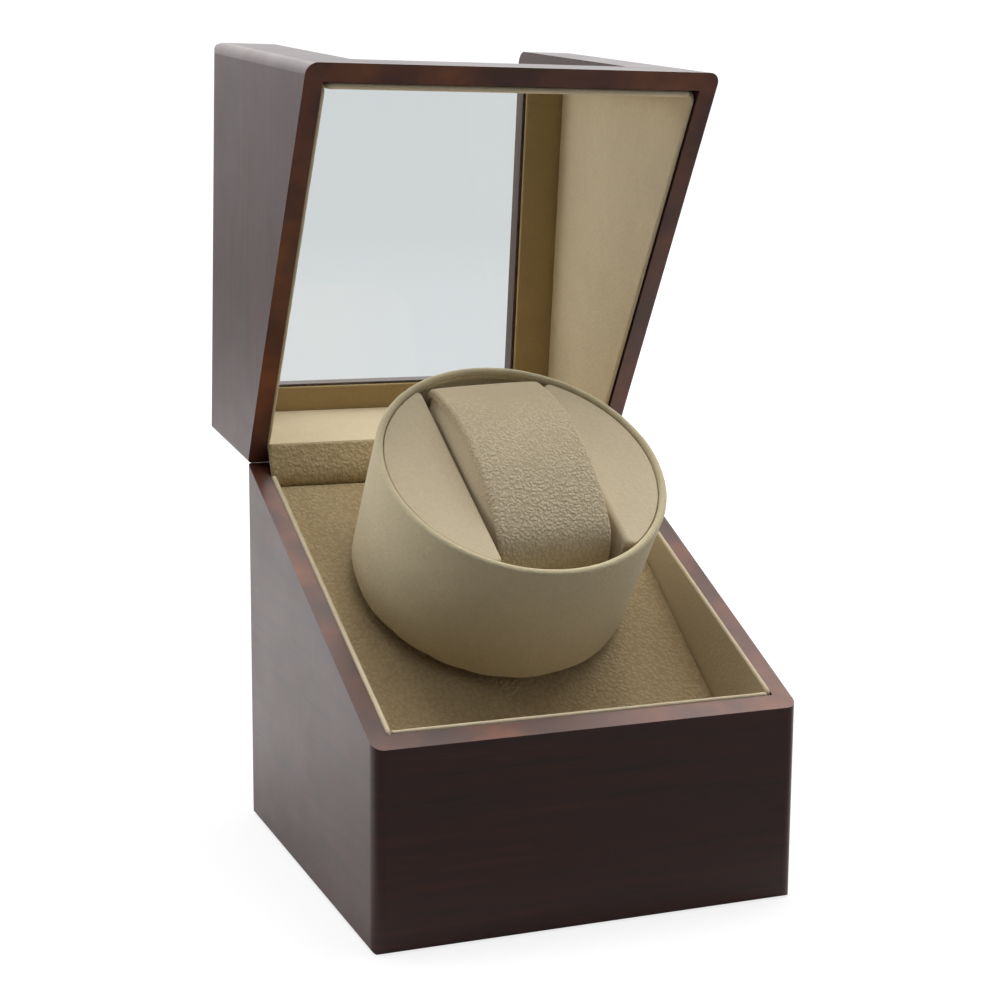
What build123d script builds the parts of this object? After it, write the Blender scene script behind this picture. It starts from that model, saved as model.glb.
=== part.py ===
from build123d import *
import math
import os

# Single watch winder: a lacquered wooden box cut on a slope, a lid with one
# wrap-around window, and a tilted cup that turns a watch on its cuff.
# Millimetres. X to the right, Y to the back, Z up. The origin is the centre of
# the plane that the felt base rests on. The lid is stored open, on its stop.

# ---------------------------------------------------------------- dimensions
W = 126.0            # outside width
D = 126.0            # outside depth
H = 165.6            # wooden height, lid shut
ZR = 113.2           # rim height at the rear face
ZF = 55.6            # rim height at the front face
T = 5.4              # wall thickness of the wood
R_EDGE = 3.4         # radius of the upright front edges
R_REAR = 1.2         # radius of the upright rear edges
R_TOP = 4.6          # radius of the lid's top edges
R_BOT = 1.2          # radius of the bottom edges
SKIRT = 0.5          # how far the walls reach below the bottom panel's plane
FOOT = 0.8           # how far the felt sheet lifts the wood
OPEN = 84.2          # opening angle of the lid at its stop, degrees
RIM_GAP = 0.35       # gap between the two rims, lid shut

WIN_X = 43.35        # half width of the window
WIN_Z = 78.5         # lower edge of the window, front wall
WIN_Y = 48.6         # rear edge of the window, top
WIN_R = 2.2          # corner radius of the window

PANE_T = 2.0         # acrylic sheet
LINER_T = 1.35       # wrapped liner board
FRONT_T = 1.9        # wrapped frame on the lid's front wall
PROUD = 0.8          # how far the tray liners stand above the rim

TILT = 35.5          # slope of the tray floor, degrees
P0Y, P0Z = 18.52, 80.14   # where the cup's axis meets the tray floor
FLOOR_T = 3.0        # floor board thickness, square to its face

CUP_TOP = 49.1       # rim of the cup above the tray floor, along the axis
CUP_BOT = 3.6        # underside of the cup above the tray floor
CUP_R1 = 43.46       # outer radius at the rim
CUP_R0 = 42.7        # outer radius at the bottom
CUP_WALL = 2.45      # wall of the cup shell
CUP_TURN = 3.2       # rest position of the cup about its axis, degrees
SLOT = 19.5          # half width of the slot
PLAT_DROP = 0.9      # platforms below the rim
CUFF_X = 17.5        # half width of the watch cuff
CUFF_U1 = 35.6       # reach of the cuff towards its upper end
CUFF_U2 = 31.5       # reach of the cuff towards its lower end
CUFF_TOP = 57.08     # crown of the cuff above the tray floor
CUFF_UM = 5.35       # the crown lies this far towards the upper end
CUFF_BOT = 14.1      # underside of the cuff
CUFF_ARCH = 64.0     # radius of the cuff's crown
CUFF_R1 = 6.2        # shoulder radius, upper end
CUFF_R2 = 13.0       # shoulder radius, lower end
CUFF_R3 = 14.0       # radius of the two lower corners
CUFF_BAND = 2.5      # padded band thickness

SHAFT = 3.0          # spindle radius
RUN = 0.03           # radial running clearance of the spindle in its bushes
MOD = 0.8            # gear module
N_CUP = 45           # teeth on the cup gear
N_PIN = 15           # teeth on the drive pinion
CENTRE = MOD * (N_CUP + N_PIN) / 2.0
BACKLASH = 0.15      # each tooth is this much thinner on the pitch circle

PIN_R = 1.0          # hinge pin radius
BARREL_R = 2.0       # hinge barrel radius
HINGE_X = 38.0       # hinge centres left and right
HINGE_L = 24.0       # length of a hinge

# ------------------------------------------------------------------ helpers
K = (ZR - ZF) / D
A_RIM = math.degrees(math.atan(K))
YB, YF = D / 2.0, -D / 2.0
IX, IY = W / 2.0 - T, D / 2.0 - T        # inner faces of the wood
BOT = (Align.CENTER, Align.CENTER, Align.MIN)


def rim(y):
    return ZR + (y - YB) * K


def floor_z(y):
    return P0Z + (y - P0Y) * math.tan(math.radians(TILT))


def prism(points, x0, x1):
    """Polygon in (y, z), carried from x0 to x1."""
    face = make_face(Polyline(*[(0, y, z) for y, z in points], close=True))
    return Pos(x0, 0, 0) * extrude(face, amount=x1 - x0, dir=(1, 0, 0))


def box(x0, x1, y0, y1, z0, z1):
    return Pos((x0 + x1) / 2.0, (y0 + y1) / 2.0, (z0 + z1) / 2.0) * Box(
        x1 - x0, y1 - y0, z1 - z0)


def cyl(r, z0, z1, x=0.0, y=0.0):
    return Pos(x, y, z0) * Cylinder(r, z1 - z0, align=BOT)


def cyl_y(r, y0, y1, x, z):
    """Cylinder along Y."""
    return Pos(x, y0, z) * Rot(-90, 0, 0) * Cylinder(r, y1 - y0, align=BOT)


def cyl_x(r, x0, x1, y, z):
    """Cylinder along X."""
    return Pos(x0, y, z) * Rot(0, 90, 0) * Cylinder(r, x1 - x0, align=BOT)


_a = math.radians(TILT)
DRIVE = Plane(origin=(0, P0Y, P0Z), x_dir=(1, 0, 0),
              z_dir=(0, -math.sin(_a), math.cos(_a)))
_r = math.radians(A_RIM)
RIMP = Plane(origin=(0, YB, ZR), x_dir=(1, 0, 0),
             z_dir=(0, -math.sin(_r), math.cos(_r)))


def on_drive(shape):
    return shape.moved(DRIVE.location)


def on_cup(shape):
    """Pieces that show which way the cup is turned."""
    return (Rot(0, 0, CUP_TURN) * shape).moved(DRIVE.location)


def on_rim(shape):
    return shape.moved(RIMP.location)


HINGE_AXIS = Axis((0, YB, ZR), (1, 0, 0))


def opened(shape):
    return shape.rotate(HINGE_AXIS, -OPEN)


def open_pt(y, z):
    t = math.radians(OPEN)
    dy, dz = y - YB, z - ZR
    return (YB + dy * math.cos(t) + dz * math.sin(t),
            ZR - dy * math.sin(t) + dz * math.cos(t))


def group(*shapes):
    return Compound(children=[s for part in shapes for s in part.solids()])


parts = {}

# --------------------------------------------------------------- wooden box
HB = H + SKIRT
MID = (H - SKIRT) / 2.0
block = Pos(0, 0, MID) * Box(W, D, HB)
uprights = block.edges().filter_by(Axis.Z).sort_by(Axis.Y)
block = fillet(uprights[:2], R_EDGE)
block = fillet(block.edges().filter_by(Axis.Z).sort_by(Axis.Y)[-2:], R_REAR)
# the top and bottom edges are rounded across the whole block, which leaves a
# soft mitre at each corner
section_x = Pos(0, 0, MID) * Box(W, D + 2, HB)
section_x = fillet(section_x.edges().filter_by(Axis.Y).sort_by(Axis.Z)[:2], R_BOT)
section_x = fillet(section_x.edges().filter_by(Axis.Y).sort_by(Axis.Z)[-2:], R_TOP)
section_y = Pos(0, 0, MID) * Box(W + 2, D, HB)
section_y = fillet(section_y.edges().filter_by(Axis.X).sort_by(Axis.Z)[:2], R_BOT)
section_y = fillet(section_y.edges().filter_by(Axis.X).sort_by(Axis.Z)[-2:], R_TOP)
block = block & section_x & section_y

below = prism([(-90, -20), (90, -20), (90, rim(90)), (-90, rim(-90))], -90, 90)
# the gap between the rims closes towards the hinge, where both meet on its axis
gap_z = RIM_GAP / math.cos(_r)
above = prism([(-90, rim(-90) + gap_z), (YB - 12.0, rim(YB - 12.0) + gap_z),
               (YB, ZR + 0.05), (90, ZR + 0.05), (90, 260), (-90, 260)], -90, 90)
hollow = Pos(0, 0, -5) * Box(2 * IX, 2 * IY, H - T + 5, align=BOT)

# hinge seats, common to both halves: barrels lie half in the rear edges
barrel_seat = None
for sx in (-1, 1):
    c = cyl_x(BARREL_R + 0.35, sx * HINGE_X - HINGE_L / 2 - 0.4,
              sx * HINGE_X + HINGE_L / 2 + 0.4, YB, ZR)
    barrel_seat = c if barrel_seat is None else barrel_seat + c

LEAF_W = 4.7         # leaf width from the pin's axis
LEAF_T = 0.85


def leaf_pocket(z0, z1):
    out = None
    for sx in (-1, 1):
        b = box(sx * HINGE_X - HINGE_L / 2 - 0.15, sx * HINGE_X + HINGE_L / 2 + 0.15,
                -LEAF_W - 0.15, 0.5, z0, z1)
        out = b if out is None else out + b
    return on_rim(out)


SCREW_X = (-7.0, 7.0)
SCREW_T = 3.4        # hinge screws, distance from the pin's axis
SCREW_R, SCREW_H, SCREW_L = 0.6, 1.2, 2.2    # shank, head radius, shank length


def rim_screw_holes(z0, z1, r):
    out = None
    for sx in (-1, 1):
        for dx in SCREW_X:
            c = cyl(r, z0, z1, sx * HINGE_X + dx, -SCREW_T)
            out = c if out is None else out + c
    return on_rim(out)


base = (block & below) - hollow
base = base - barrel_seat
base = base - leaf_pocket(-0.1 - LEAF_T - 0.1, 0.6)
base = base - rim_screw_holes(-1.0 - SCREW_L - 0.3, 0.0, SCREW_R + 0.02)

# rear control opening: a shallow pocket for the plate and a through opening
CZ = 25.0            # height of the controls
PLATE_X, PLATE_Z, PLATE_T = 33.0, 13.0, 1.5
base = base - box(-PLATE_X - 0.15, PLATE_X + 0.15, YB - PLATE_T, YB + 1,
                  CZ - PLATE_Z - 0.15, CZ + PLATE_Z + 0.15)
base = base - box(-28.0, 28.0, IY - 1, YB + 1, CZ - 9.0, CZ + 9.0)
PLATE_SCREWS = [(sx * 30.4, CZ + sz * 9.6) for sx in (-1, 1) for sz in (-1, 1)]
for px, pz in PLATE_SCREWS:
    base = base - cyl_y(0.92, YB - 5.0, YB, px, pz)
parts["base_case"] = base

lid = (block & above) - hollow
window = box(-WIN_X, WIN_X, YF - 6, WIN_Y, WIN_Z, H + 8)
window = fillet(window.edges().filter_by(Axis.Y).sort_by(Axis.Z)[:2], WIN_R)
window = fillet(window.edges().filter_by(Axis.Z).sort_by(Axis.Y)[-2:], WIN_R)
lid = lid - window
# shallow rebate in the rear wall, which takes the end of the hinge flap
lid = lid - box(-IX, IX, IY - 1, IY + 0.6, 90, 114.1)
lid = lid - barrel_seat
lid = lid - leaf_pocket(-0.3, RIM_GAP + 0.1 + LEAF_T + 0.1)
lid = lid - rim_screw_holes(0.0, RIM_GAP + 1.0 + SCREW_L + 0.3, SCREW_R + 0.02)
parts["lid_case"] = opened(lid)

# --------------------------------------------------------------- window pane
# one sheet, bent along the front top edge; it laps the wood by 3.5 all round
PANE_X = WIN_X + 3.5
y0, y1 = -IY + 0.1, WIN_Y + 3.5
z0, z1 = WIN_Z - 3.5, H - T - 0.1
ro, ri = 3.2, 3.2 - PANE_T
outer_l = Polyline((0, y0, z0), (0, y0, z1 - ro))
arc_o = ThreePointArc((0, y0, z1 - ro),
                      (0, y0 + ro * (1 - math.sqrt(0.5)), z1 - ro * (1 - math.sqrt(0.5))),
                      (0, y0 + ro, z1))
top_o = Polyline((0, y0 + ro, z1), (0, y1, z1), (0, y1, z1 - PANE_T),
                 (0, y0 + ro, z1 - PANE_T))
arc_i = ThreePointArc((0, y0 + ro, z1 - PANE_T),
                      (0, y0 + ro - ri * math.sqrt(0.5), z1 - ro + ri * math.sqrt(0.5)),
                      (0, y0 + PANE_T, z1 - ro))
inner_l = Polyline((0, y0 + PANE_T, z1 - ro), (0, y0 + PANE_T, z0), (0, y0, z0))
pane_face = make_face([outer_l, arc_o, top_o, arc_i, inner_l])
pane = Pos(-PANE_X, 0, 0) * extrude(pane_face, amount=2 * PANE_X, dir=(1, 0, 0))
parts["window_pane"] = opened(pane)

# --------------------------------------------------------------- lid liners
REC = 1.35           # lid liners stop this far above the rim (upright)
TOP_LZ = z1 - PANE_T - 0.1            # upper face of the top liner
LB = TOP_LZ - LINER_T                 # lower face of the top liner
LX1 = IX - 0.1
LX0 = LX1 - LINER_T
LYR = 55.7                            # rear end of the side liners
LYL = 56.85                           # the same in the lid, where the rear liner is thin
lid_side = [(-IY + 0.2, rim(-IY + 0.2) + REC), (LYL, rim(LYL) + REC),
            (LYL, LB - 0.1), (-IY + 0.2, LB - 0.1)]
parts["lid_liner_left"] = opened(prism(lid_side, -LX1, -LX0))
parts["lid_liner_right"] = opened(prism(lid_side, LX0, LX1))
top_liner = box(-LX1, LX1, -IY + 0.1 + ro + 0.3, IY - 0.1, LB, TOP_LZ)
cut = box(-WIN_X - 0.1, WIN_X + 0.1, -80, WIN_Y + 0.3, LB - 2, TOP_LZ + 2)
cut = fillet(cut.edges().filter_by(Axis.Z).sort_by(Axis.Y)[-2:], WIN_R)
parts["lid_liner_top"] = opened(top_liner - cut)
# front wall: one frame around the pane, flush with it
fs0 = -IY + 0.1
fs1 = fs0 + FRONT_T
front_frame = prism([(fs0, rim(fs0) + REC), (fs1, rim(fs1) + REC), (fs1, LB - 0.1),
                     (fs0, LB - 0.1)], -LX0 + 0.1, LX0 - 0.1)
front_frame = front_frame - box(-PANE_X - 0.1, PANE_X + 0.1, fs0 - 1, fs1 + 1,
                                z0 - 0.1, LB + 1)
parts["lid_liner_front"] = opened(front_frame)
# the rear liner laps the flap that is glued into the rebate behind it
FLAP_T = 0.5
RL1 = IY - 0.1
parts["lid_liner_rear"] = opened(box(-LX1, LX1, LYL + 0.05, RL1, 112.0, LB - 0.05))

# -------------------------------------------------------------- tray liners
side = [(-IY + 0.1, floor_z(-IY + 0.1) - 3.68), (LYR, floor_z(LYR) - 3.68),
        (LYR, rim(LYR) + PROUD), (-IY + 0.1, rim(-IY + 0.1) + PROUD)]
parts["tray_liner_left"] = prism(side, -LX1, -LX0)
parts["tray_liner_right"] = prism(side, LX0, LX1)
ty0, ty1 = -IY + 0.1, -IY + 0.1 + LINER_T
parts["tray_liner_front"] = prism(
    [(ty0, 20.0), (ty1, 20.0), (ty1, rim(ty1) + 0.5), (ty0, rim(ty0) + 0.5)],
    -LX0 + 0.05, LX0 - 0.05)

# sloped tray floor with the clearance hole for the cup's hub
fy_a, fy_b = ty1 + 0.1, 56.4
v = FLOOR_T / math.cos(_a)
tray_floor = prism([(fy_a, floor_z(fy_a)), (fy_a, floor_z(fy_a) - v),
                    (fy_b, floor_z(fy_b) - v), (fy_b, floor_z(fy_b))],
                   -LX0 + 0.05, LX0 - 0.05)
PLATE_HOLES = [(sx * 26.0, u) for sx in (-1, 1) for u in (-33.0, 21.0)]
tray_floor = tray_floor - on_drive(cyl(8.0, -6, 3))
for hx, hu in PLATE_HOLES:
    tray_floor = tray_floor - on_drive(cyl(1.5, -5, -0.5, hx, hu))
parts["tray_floor"] = tray_floor

battens = []
for sx in (-1, 1):
    xa, xb = sorted((sx * 49.0, sx * LX1))
    battens.append(prism([(-50, floor_z(-50) - v - 0.1), (-50, floor_z(-50) - v - 8.5),
                          (50, floor_z(50) - v - 8.5), (50, floor_z(50) - v - 0.1)],
                         xa, xb))

# soft flap that bridges the hinge inside: glued to the base, then to the lid
ft = FLAP_T


def ribbon(points, t):
    """Thin closed outline around a line of (y, z) points."""
    left, right = [], []
    n = len(points)
    for i in range(n):
        if i == 0:
            d = (points[1][0] - points[0][0], points[1][1] - points[0][1])
            s = 1.0
        elif i == n - 1:
            d = (points[-1][0] - points[-2][0], points[-1][1] - points[-2][1])
            s = 1.0
        else:
            a = (points[i][0] - points[i - 1][0], points[i][1] - points[i - 1][1])
            b = (points[i + 1][0] - points[i][0], points[i + 1][1] - points[i][1])
            la, lb = math.hypot(*a), math.hypot(*b)
            d = (a[0] / la + b[0] / lb, a[1] / la + b[1] / lb)
            ld = math.hypot(*d)
            s = 1.0 / ((a[0] * d[0] + a[1] * d[1]) / (la * ld))
        ld = math.hypot(*d)
        nx, nz = -d[1] / ld, d[0] / ld
        left.append((points[i][0] + nx * t / 2 * s, points[i][1] + nz * t / 2 * s))
        right.append((points[i][0] - nx * t / 2 * s, points[i][1] - nz * t / 2 * s))
    return left + right[::-1]


yf = IY - 0.1 - ft / 2
yl = IY + 0.6 - 0.05 - ft / 2          # in the lid's rebate
flap_line = [(yf, 104.6), (yf, 110.9), open_pt(yl, 110.4), open_pt(yl, 113.95)]
parts["hinge_flap"] = prism(ribbon(flap_line, ft), -LX1, LX1)

# -------------------------------------------------------------------- hinges
seg = (HINGE_L - 0.6) / 3.0            # knuckle length, 0.3 gaps
base_leaves, lid_leaves, pins, scr_b, scr_l = [], [], [], [], []
CSK = 0.75                              # depth of the screw heads' cones


def tiny_screw(x, up):
    """Countersunk screw; its head lies in the leaf, its shank in the wood."""
    head = Cone(SCREW_R, SCREW_H, CSK, align=BOT)
    shank = Pos(0, 0, -SCREW_L) * Cylinder(SCREW_R, SCREW_L, align=BOT)
    slot_cut = Pos(0, 0, CSK) * Box(3.2, 0.3, 0.5)
    s = (head + shank) - slot_cut
    if up:
        return Pos(x, -SCREW_T, RIM_GAP + 0.1 + CSK + 0.02) * Rot(180, 0, 0) * s
    return Pos(x, -SCREW_T, -0.1 - CSK - 0.02) * s


for sx in (-1, 1):
    hx = sx * HINGE_X
    xs = [hx - HINGE_L / 2, hx - HINGE_L / 2 + seg, hx - HINGE_L / 2 + seg + 0.3,
          hx + HINGE_L / 2 - seg - 0.3, hx + HINGE_L / 2 - seg, hx + HINGE_L / 2]
    # base leaf with the two outer knuckles
    leaf = box(xs[0], xs[5], -LEAF_W, 0, -0.1 - LEAF_T, -0.1)
    leaf = leaf + cyl_x(BARREL_R, xs[0], xs[1], 0, 0) + cyl_x(BARREL_R, xs[4], xs[5], 0, 0)
    leaf = leaf - cyl_x(BARREL_R + 0.3, xs[1], xs[4], 0, 0)
    leaf = leaf - cyl_x(PIN_R, xs[0] - 1, xs[5] + 1, 0, 0)
    # nothing of the fixed leaf stands above the rim except its knuckles
    for dx in SCREW_X:
        leaf = leaf - (Pos(hx + dx, -SCREW_T, -0.1 - CSK - 0.01) *
                       Cone(SCREW_R + 0.05, SCREW_H + 0.08, CSK + 0.02, align=BOT)) - cyl(
            SCREW_R + 0.05, -2, 0.5, hx + dx, -SCREW_T)
    base_leaves.append(on_rim(leaf))
    # lid leaf with the middle knuckle, drawn shut
    leaf = box(xs[0], xs[5], -LEAF_W, 0, RIM_GAP + 0.1, RIM_GAP + 0.1 + LEAF_T)
    leaf = leaf - cyl_x(BARREL_R + 0.3, xs[0] - 1, xs[2], 0, 0)
    leaf = leaf - cyl_x(BARREL_R + 0.3, xs[3], xs[5] + 1, 0, 0)
    leaf = leaf + cyl_x(BARREL_R, xs[2], xs[3], 0, 0)
    leaf = leaf - cyl_x(PIN_R + 0.05, xs[0] - 1, xs[5] + 1, 0, 0)
    for dx in SCREW_X:
        leaf = leaf - cyl(SCREW_R + 0.05, -1, 3, hx + dx, -SCREW_T) - (
            Pos(hx + dx, -SCREW_T, RIM_GAP + 0.1 - 0.01) *
            Cone(SCREW_H + 0.08, SCREW_R + 0.05, CSK + 0.02, align=BOT))
    lid_leaves.append(opened(on_rim(leaf)))
    pins.append(on_rim(cyl_x(PIN_R, xs[0], xs[5], 0, 0)))
    for dx in SCREW_X:
        scr_b.append(on_rim(tiny_screw(hx + dx, False)))
        scr_l.append(opened(on_rim(tiny_screw(hx + dx, True))))
parts["hinge_leaves_base"] = group(*base_leaves)
parts["hinge_leaves_lid"] = group(*lid_leaves)
parts["hinge_pins"] = group(*pins)
parts["hinge_screws_base"] = group(*scr_b)
parts["hinge_screws_lid"] = group(*scr_l)

# ------------------------------------------------------------------- bottom
BP0, BP1 = 0.4, 4.4
panel = box(-IX + 0.1, IX - 0.1, -IY + 0.1, IY - 0.1, BP0, BP1)
BLOCK = 13.0
blocks, bscrews = [], []
felt = box(-IX + 2.5, IX - 2.5, -IY + 2.5, IY - 2.5, -FOOT, BP0)
felt = fillet(felt.edges().filter_by(Axis.Z), 3.0)
for sx in (-1, 1):
    for sy in (-1, 1):
        cx, cy = sx * (IX - 0.1 - BLOCK / 2), sy * (IY - 0.1 - BLOCK / 2)
        # front blocks stop under the front liner, all are chamfered inwards
        b = Pos(cx, cy, BP1 + 0.05) * Box(BLOCK, BLOCK, 14.0, align=BOT)
        b = chamfer(b.edges().filter_by(Axis.Z).sort_by(
            lambda e: abs(e.center().X) + abs(e.center().Y))[0], 6.0)
        b = b - cyl(1.5, BP1, BP1 + 12.0, cx + sx * 1.5, cy + sy * 1.5)
        blocks.append(b)
        hx, hy = cx + sx * 1.5, cy + sy * 1.5
        panel = panel - cyl(1.6, 0, 6, hx, hy) - (
            Pos(hx, hy, BP0 - 0.01) * Cone(3.1, 1.6, 1.7, align=BOT))
        sc = Pos(hx, hy, BP0 + 0.05) * Cone(3.0, 1.45, 1.6, align=BOT)
        sc = sc + cyl(1.45, BP0 + 1.6, BP1 + 11.0, hx, hy)
        sc = sc - (Pos(hx, hy, BP0) * Box(3.6, 0.7, 1.6)) - (
            Pos(hx, hy, BP0) * Box(0.7, 3.6, 1.6))
        bscrews.append(sc)
        felt = felt - cyl(4.0, -FOOT - 1, BP0 + 1, hx, hy)
parts["bottom_panel"] = panel
parts["wood_battens"] = group(*battens, *blocks)
parts["bottom_screws"] = group(*bscrews)
parts["felt_base"] = felt

# ------------------------------------------------------------------ the cup
# drawn upright: z is the height above the tray floor along the cup's axis
rt = CUP_WALL / 2.0
zc = CUP_TOP - rt
prof = [Polyline((CUP_R0 - CUP_WALL, 0, CUP_BOT), (CUP_R0 - 0.5, 0, CUP_BOT),
                 (CUP_R0, 0, CUP_BOT + 0.5), (CUP_R1, 0, zc)),
        ThreePointArc((CUP_R1, 0, zc), (CUP_R1 - rt, 0, CUP_TOP), (CUP_R1 - CUP_WALL, 0, zc)),
        Polyline((CUP_R1 - CUP_WALL, 0, zc), (CUP_R0 - CUP_WALL, 0, CUP_BOT))]
shell = revolve(make_face(prof), axis=Axis.Z)
parts["cup_shell"] = on_drive(shell)

CB0, CB1 = CUP_BOT, CUP_BOT + 4.0
HUB_SCREWS = [(12.0 * math.cos(math.radians(t)), 12.0 * math.sin(math.radians(t)))
              for t in (90, 210, 330)]
board = cyl(CUP_R0 - CUP_WALL - 0.06, CB0, CB1) - cyl(6.2, CB0 - 1, CB1 + 1)
for hx, hy in HUB_SCREWS:
    board = board - cyl(1.3, CB0 + 1.0, CB1 + 1, hx, hy)
parts["cup_base"] = on_drive(board)

PT1 = CUP_TOP - PLAT_DROP
PT0 = PT1 - 2.2
plate_disc = cyl(CUP_R1 - CUP_WALL - 0.35, PT0, PT1)
parts["platform_left"] = on_cup(plate_disc & box(-60, -SLOT, -60, 60, 0, 80))
parts["platform_right"] = on_cup(plate_disc & box(SLOT, 60, -60, 60, 0, 80))
SW = 1.8
parts["slot_wall_left"] = on_cup(box(-SLOT - SW, -SLOT, -33.2, 33.2, CB1 + 0.02, PT0 - 0.02))
parts["slot_wall_right"] = on_cup(box(SLOT, SLOT + SW, -33.2, 33.2, CB1 + 0.02, PT0 - 0.02))
parts["slot_floor"] = on_cup(box(-SLOT + 0.05, SLOT - 0.05, -34.0, 34.0, 12.4, 13.8))

hub = cyl(17.0, CB1, CB1 + 2.5) + cyl(6.0, -1.0, CB1)
hub = hub - cyl(SHAFT, -2, 20)
for hx, hy in HUB_SCREWS:
    hub = hub - cyl(1.4, CB1 - 1, CB1 + 4, hx, hy)
parts["cup_hub"] = on_drive(hub)


def pan_screw(x, y, zhead, length, r, rh, hh, down=True):
    """Pan head above zhead, shank below it; turned over if down is False."""
    s = Cylinder(rh, hh, align=BOT)
    s = fillet(s.edges().sort_by(Axis.Z)[-1], hh * 0.45)
    s = s + Pos(0, 0, -length) * Cylinder(r, length, align=BOT)
    s = s - Pos(0, 0, hh) * Box(rh * 1.1, r * 0.45, hh) - Pos(0, 0, hh) * Box(
        r * 0.45, rh * 1.1, hh)
    if not down:
        s = Rot(180, 0, 0) * s
    return Pos(x, y, zhead) * s


hs = [pan_screw(hx, hy, CB1 + 2.5, 5.2, 1.25, 2.4, 1.6) for hx, hy in HUB_SCREWS]
hs.append(pan_screw(0, 0, CB1 + 2.5, 8.0, 1.45, 4.0, 1.9))
parts["hub_screws"] = on_drive(group(*hs))

spindle = cyl(SHAFT, -30.5, CB1 + 2.2)
spindle = spindle - cyl(1.5, CB1 - 7.0, CB1 + 3)
groove = cyl(SHAFT + 1, -28.45, -27.65) - cyl(2.5, -28.6, -27.5)
spindle = chamfer((spindle - groove).edges().sort_by(Axis.Z)[0], 0.4)
parts["spindle"] = on_drive(spindle)
clip = cyl(4.9, -28.4, -27.7) - cyl(2.52, -29, -27)
clip = clip - box(-1.9, 1.9, -6, 0, -29, -27)
washer = cyl(6.0, -10.6, -10.1) - cyl(3.15, -11, -10)
parts["spindle_retainers"] = on_drive(group(clip, washer))


# ------------------------------------------------------------------- gears
def gear_outline(n, first_deg):
    """Involute teeth, 20 degrees; first_deg is the centre of one tooth."""
    phi = math.radians(20)
    rp = MOD * n / 2.0
    rb = rp * math.cos(phi)
    ra = rp + MOD
    rf = rp - 1.25 * MOD
    inv = math.tan(phi) - phi
    half = (math.pi * MOD / 2 - BACKLASH) / 2.0 / rp     # half tooth at the pitch circle

    def half_at(r):
        if r <= rb:
            return half + inv
        a = math.acos(rb / r)
        return half + inv - (math.tan(a) - a)

    r0 = max(rb, rf)
    radii = [r0 + (ra - r0) * t for t in (0.0, 0.15, 0.4, 0.7, 1.0)]
    if rf < rb:
        radii = [rf] + radii
    pts = []
    for k in range(n):
        c = math.radians(first_deg) + 2 * math.pi * k / n
        for r in radii:
            pts.append((r * math.cos(c - half_at(r)), r * math.sin(c - half_at(r))))
        for r in reversed(radii):
            pts.append((r * math.cos(c + half_at(r)), r * math.sin(c + half_at(r))))
    return pts


def gear(n, first_deg, z_low, z_high):
    face = make_face(Polyline(*[(x, y, 0) for x, y in gear_outline(n, first_deg)],
                              close=True))
    return Pos(0, 0, z_low) * extrude(face, amount=z_high - z_low, dir=(0, 0, 1))


G0, G1 = -8.5, -4.5
cup_gear = gear(N_CUP, -90 + 180.0 / N_CUP, G0, G1) + cyl(7.0, -10.0, G0)
ring = cyl(14.6, G1 - 1.2, G1 + 1) - cyl(7.6, G1 - 2, G1 + 2)
cup_gear = cup_gear - ring
cup_gear = cup_gear - cyl(SHAFT, -12, 0)
for t in range(5):
    a = math.radians(90 + 72 * t)
    cup_gear = cup_gear - cyl(2.4, -12, 0, 11.0 * math.cos(a), 11.0 * math.sin(a))
parts["cup_gear"] = on_drive(cup_gear)

PSH = 2.0                                # output shaft radius
pinion = gear(N_PIN, 90.0, G0, G1) + cyl(4.2, -10.4, G0)
pinion = pinion - cyl(PSH, -12, 0)
parts["drive_pinion"] = on_drive(Pos(0, -CENTRE, 0) * pinion)
parts["output_shaft"] = on_drive(cyl(PSH, -20.0, G1 + 0.3, 0, -CENTRE))

# ------------------------------------------------------------- drive plate
Q1, Q0 = -11.7, -14.2
dplate = box(-31, 31, -38, 26, Q0, Q1)
dplate = fillet(dplate.edges().filter_by(Axis.Z), 4.0)
dplate = dplate + cyl(7.5, -26.0, Q0)
for t in range(4):
    rib = Rot(0, 0, 45 + 90 * t) * box(7.0, 12.0, -0.8, 0.8, -20.0, Q0)
    dplate = dplate + rib
dplate = dplate - cyl(4.5, -27, Q1 + 1)
dplate = dplate - cyl(5.2, Q0 - 1, Q1 + 1, 0, -CENTRE)
MOTOR_SCREWS = [(-8.5, -CENTRE), (8.5, -CENTRE)]
for hx, hy in MOTOR_SCREWS:
    dplate = dplate - cyl(1.35, Q0 - 1, Q1 + 1, hx, hy)
for hx, hy in PLATE_HOLES:
    dplate = dplate - cyl(1.6, Q0 - 1, Q1 + 1, hx, hy)
parts["drive_plate"] = on_drive(dplate)
parts["plate_spacers"] = on_drive(group(*[
    cyl(3.5, Q1, -FLOOR_T, hx, hy) - cyl(1.65, Q1 - 1, 0, hx, hy) for hx, hy in PLATE_HOLES]))
parts["plate_screws"] = on_drive(group(*[
    pan_screw(hx, hy, Q0, 13.4, 1.45, 2.9, 2.0, down=False) for hx, hy in PLATE_HOLES]))
parts["upper_bush"] = on_drive(
    cyl(6.0, Q1, Q1 + 1.0) + cyl(4.5, -18.0, Q1) - cyl(SHAFT + RUN, -30, 0))
parts["lower_bush"] = on_drive(
    cyl(4.5, -26.0, -20.0) + cyl(6.0, -27.0, -26.0) - cyl(SHAFT + RUN, -30, 0))

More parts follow.
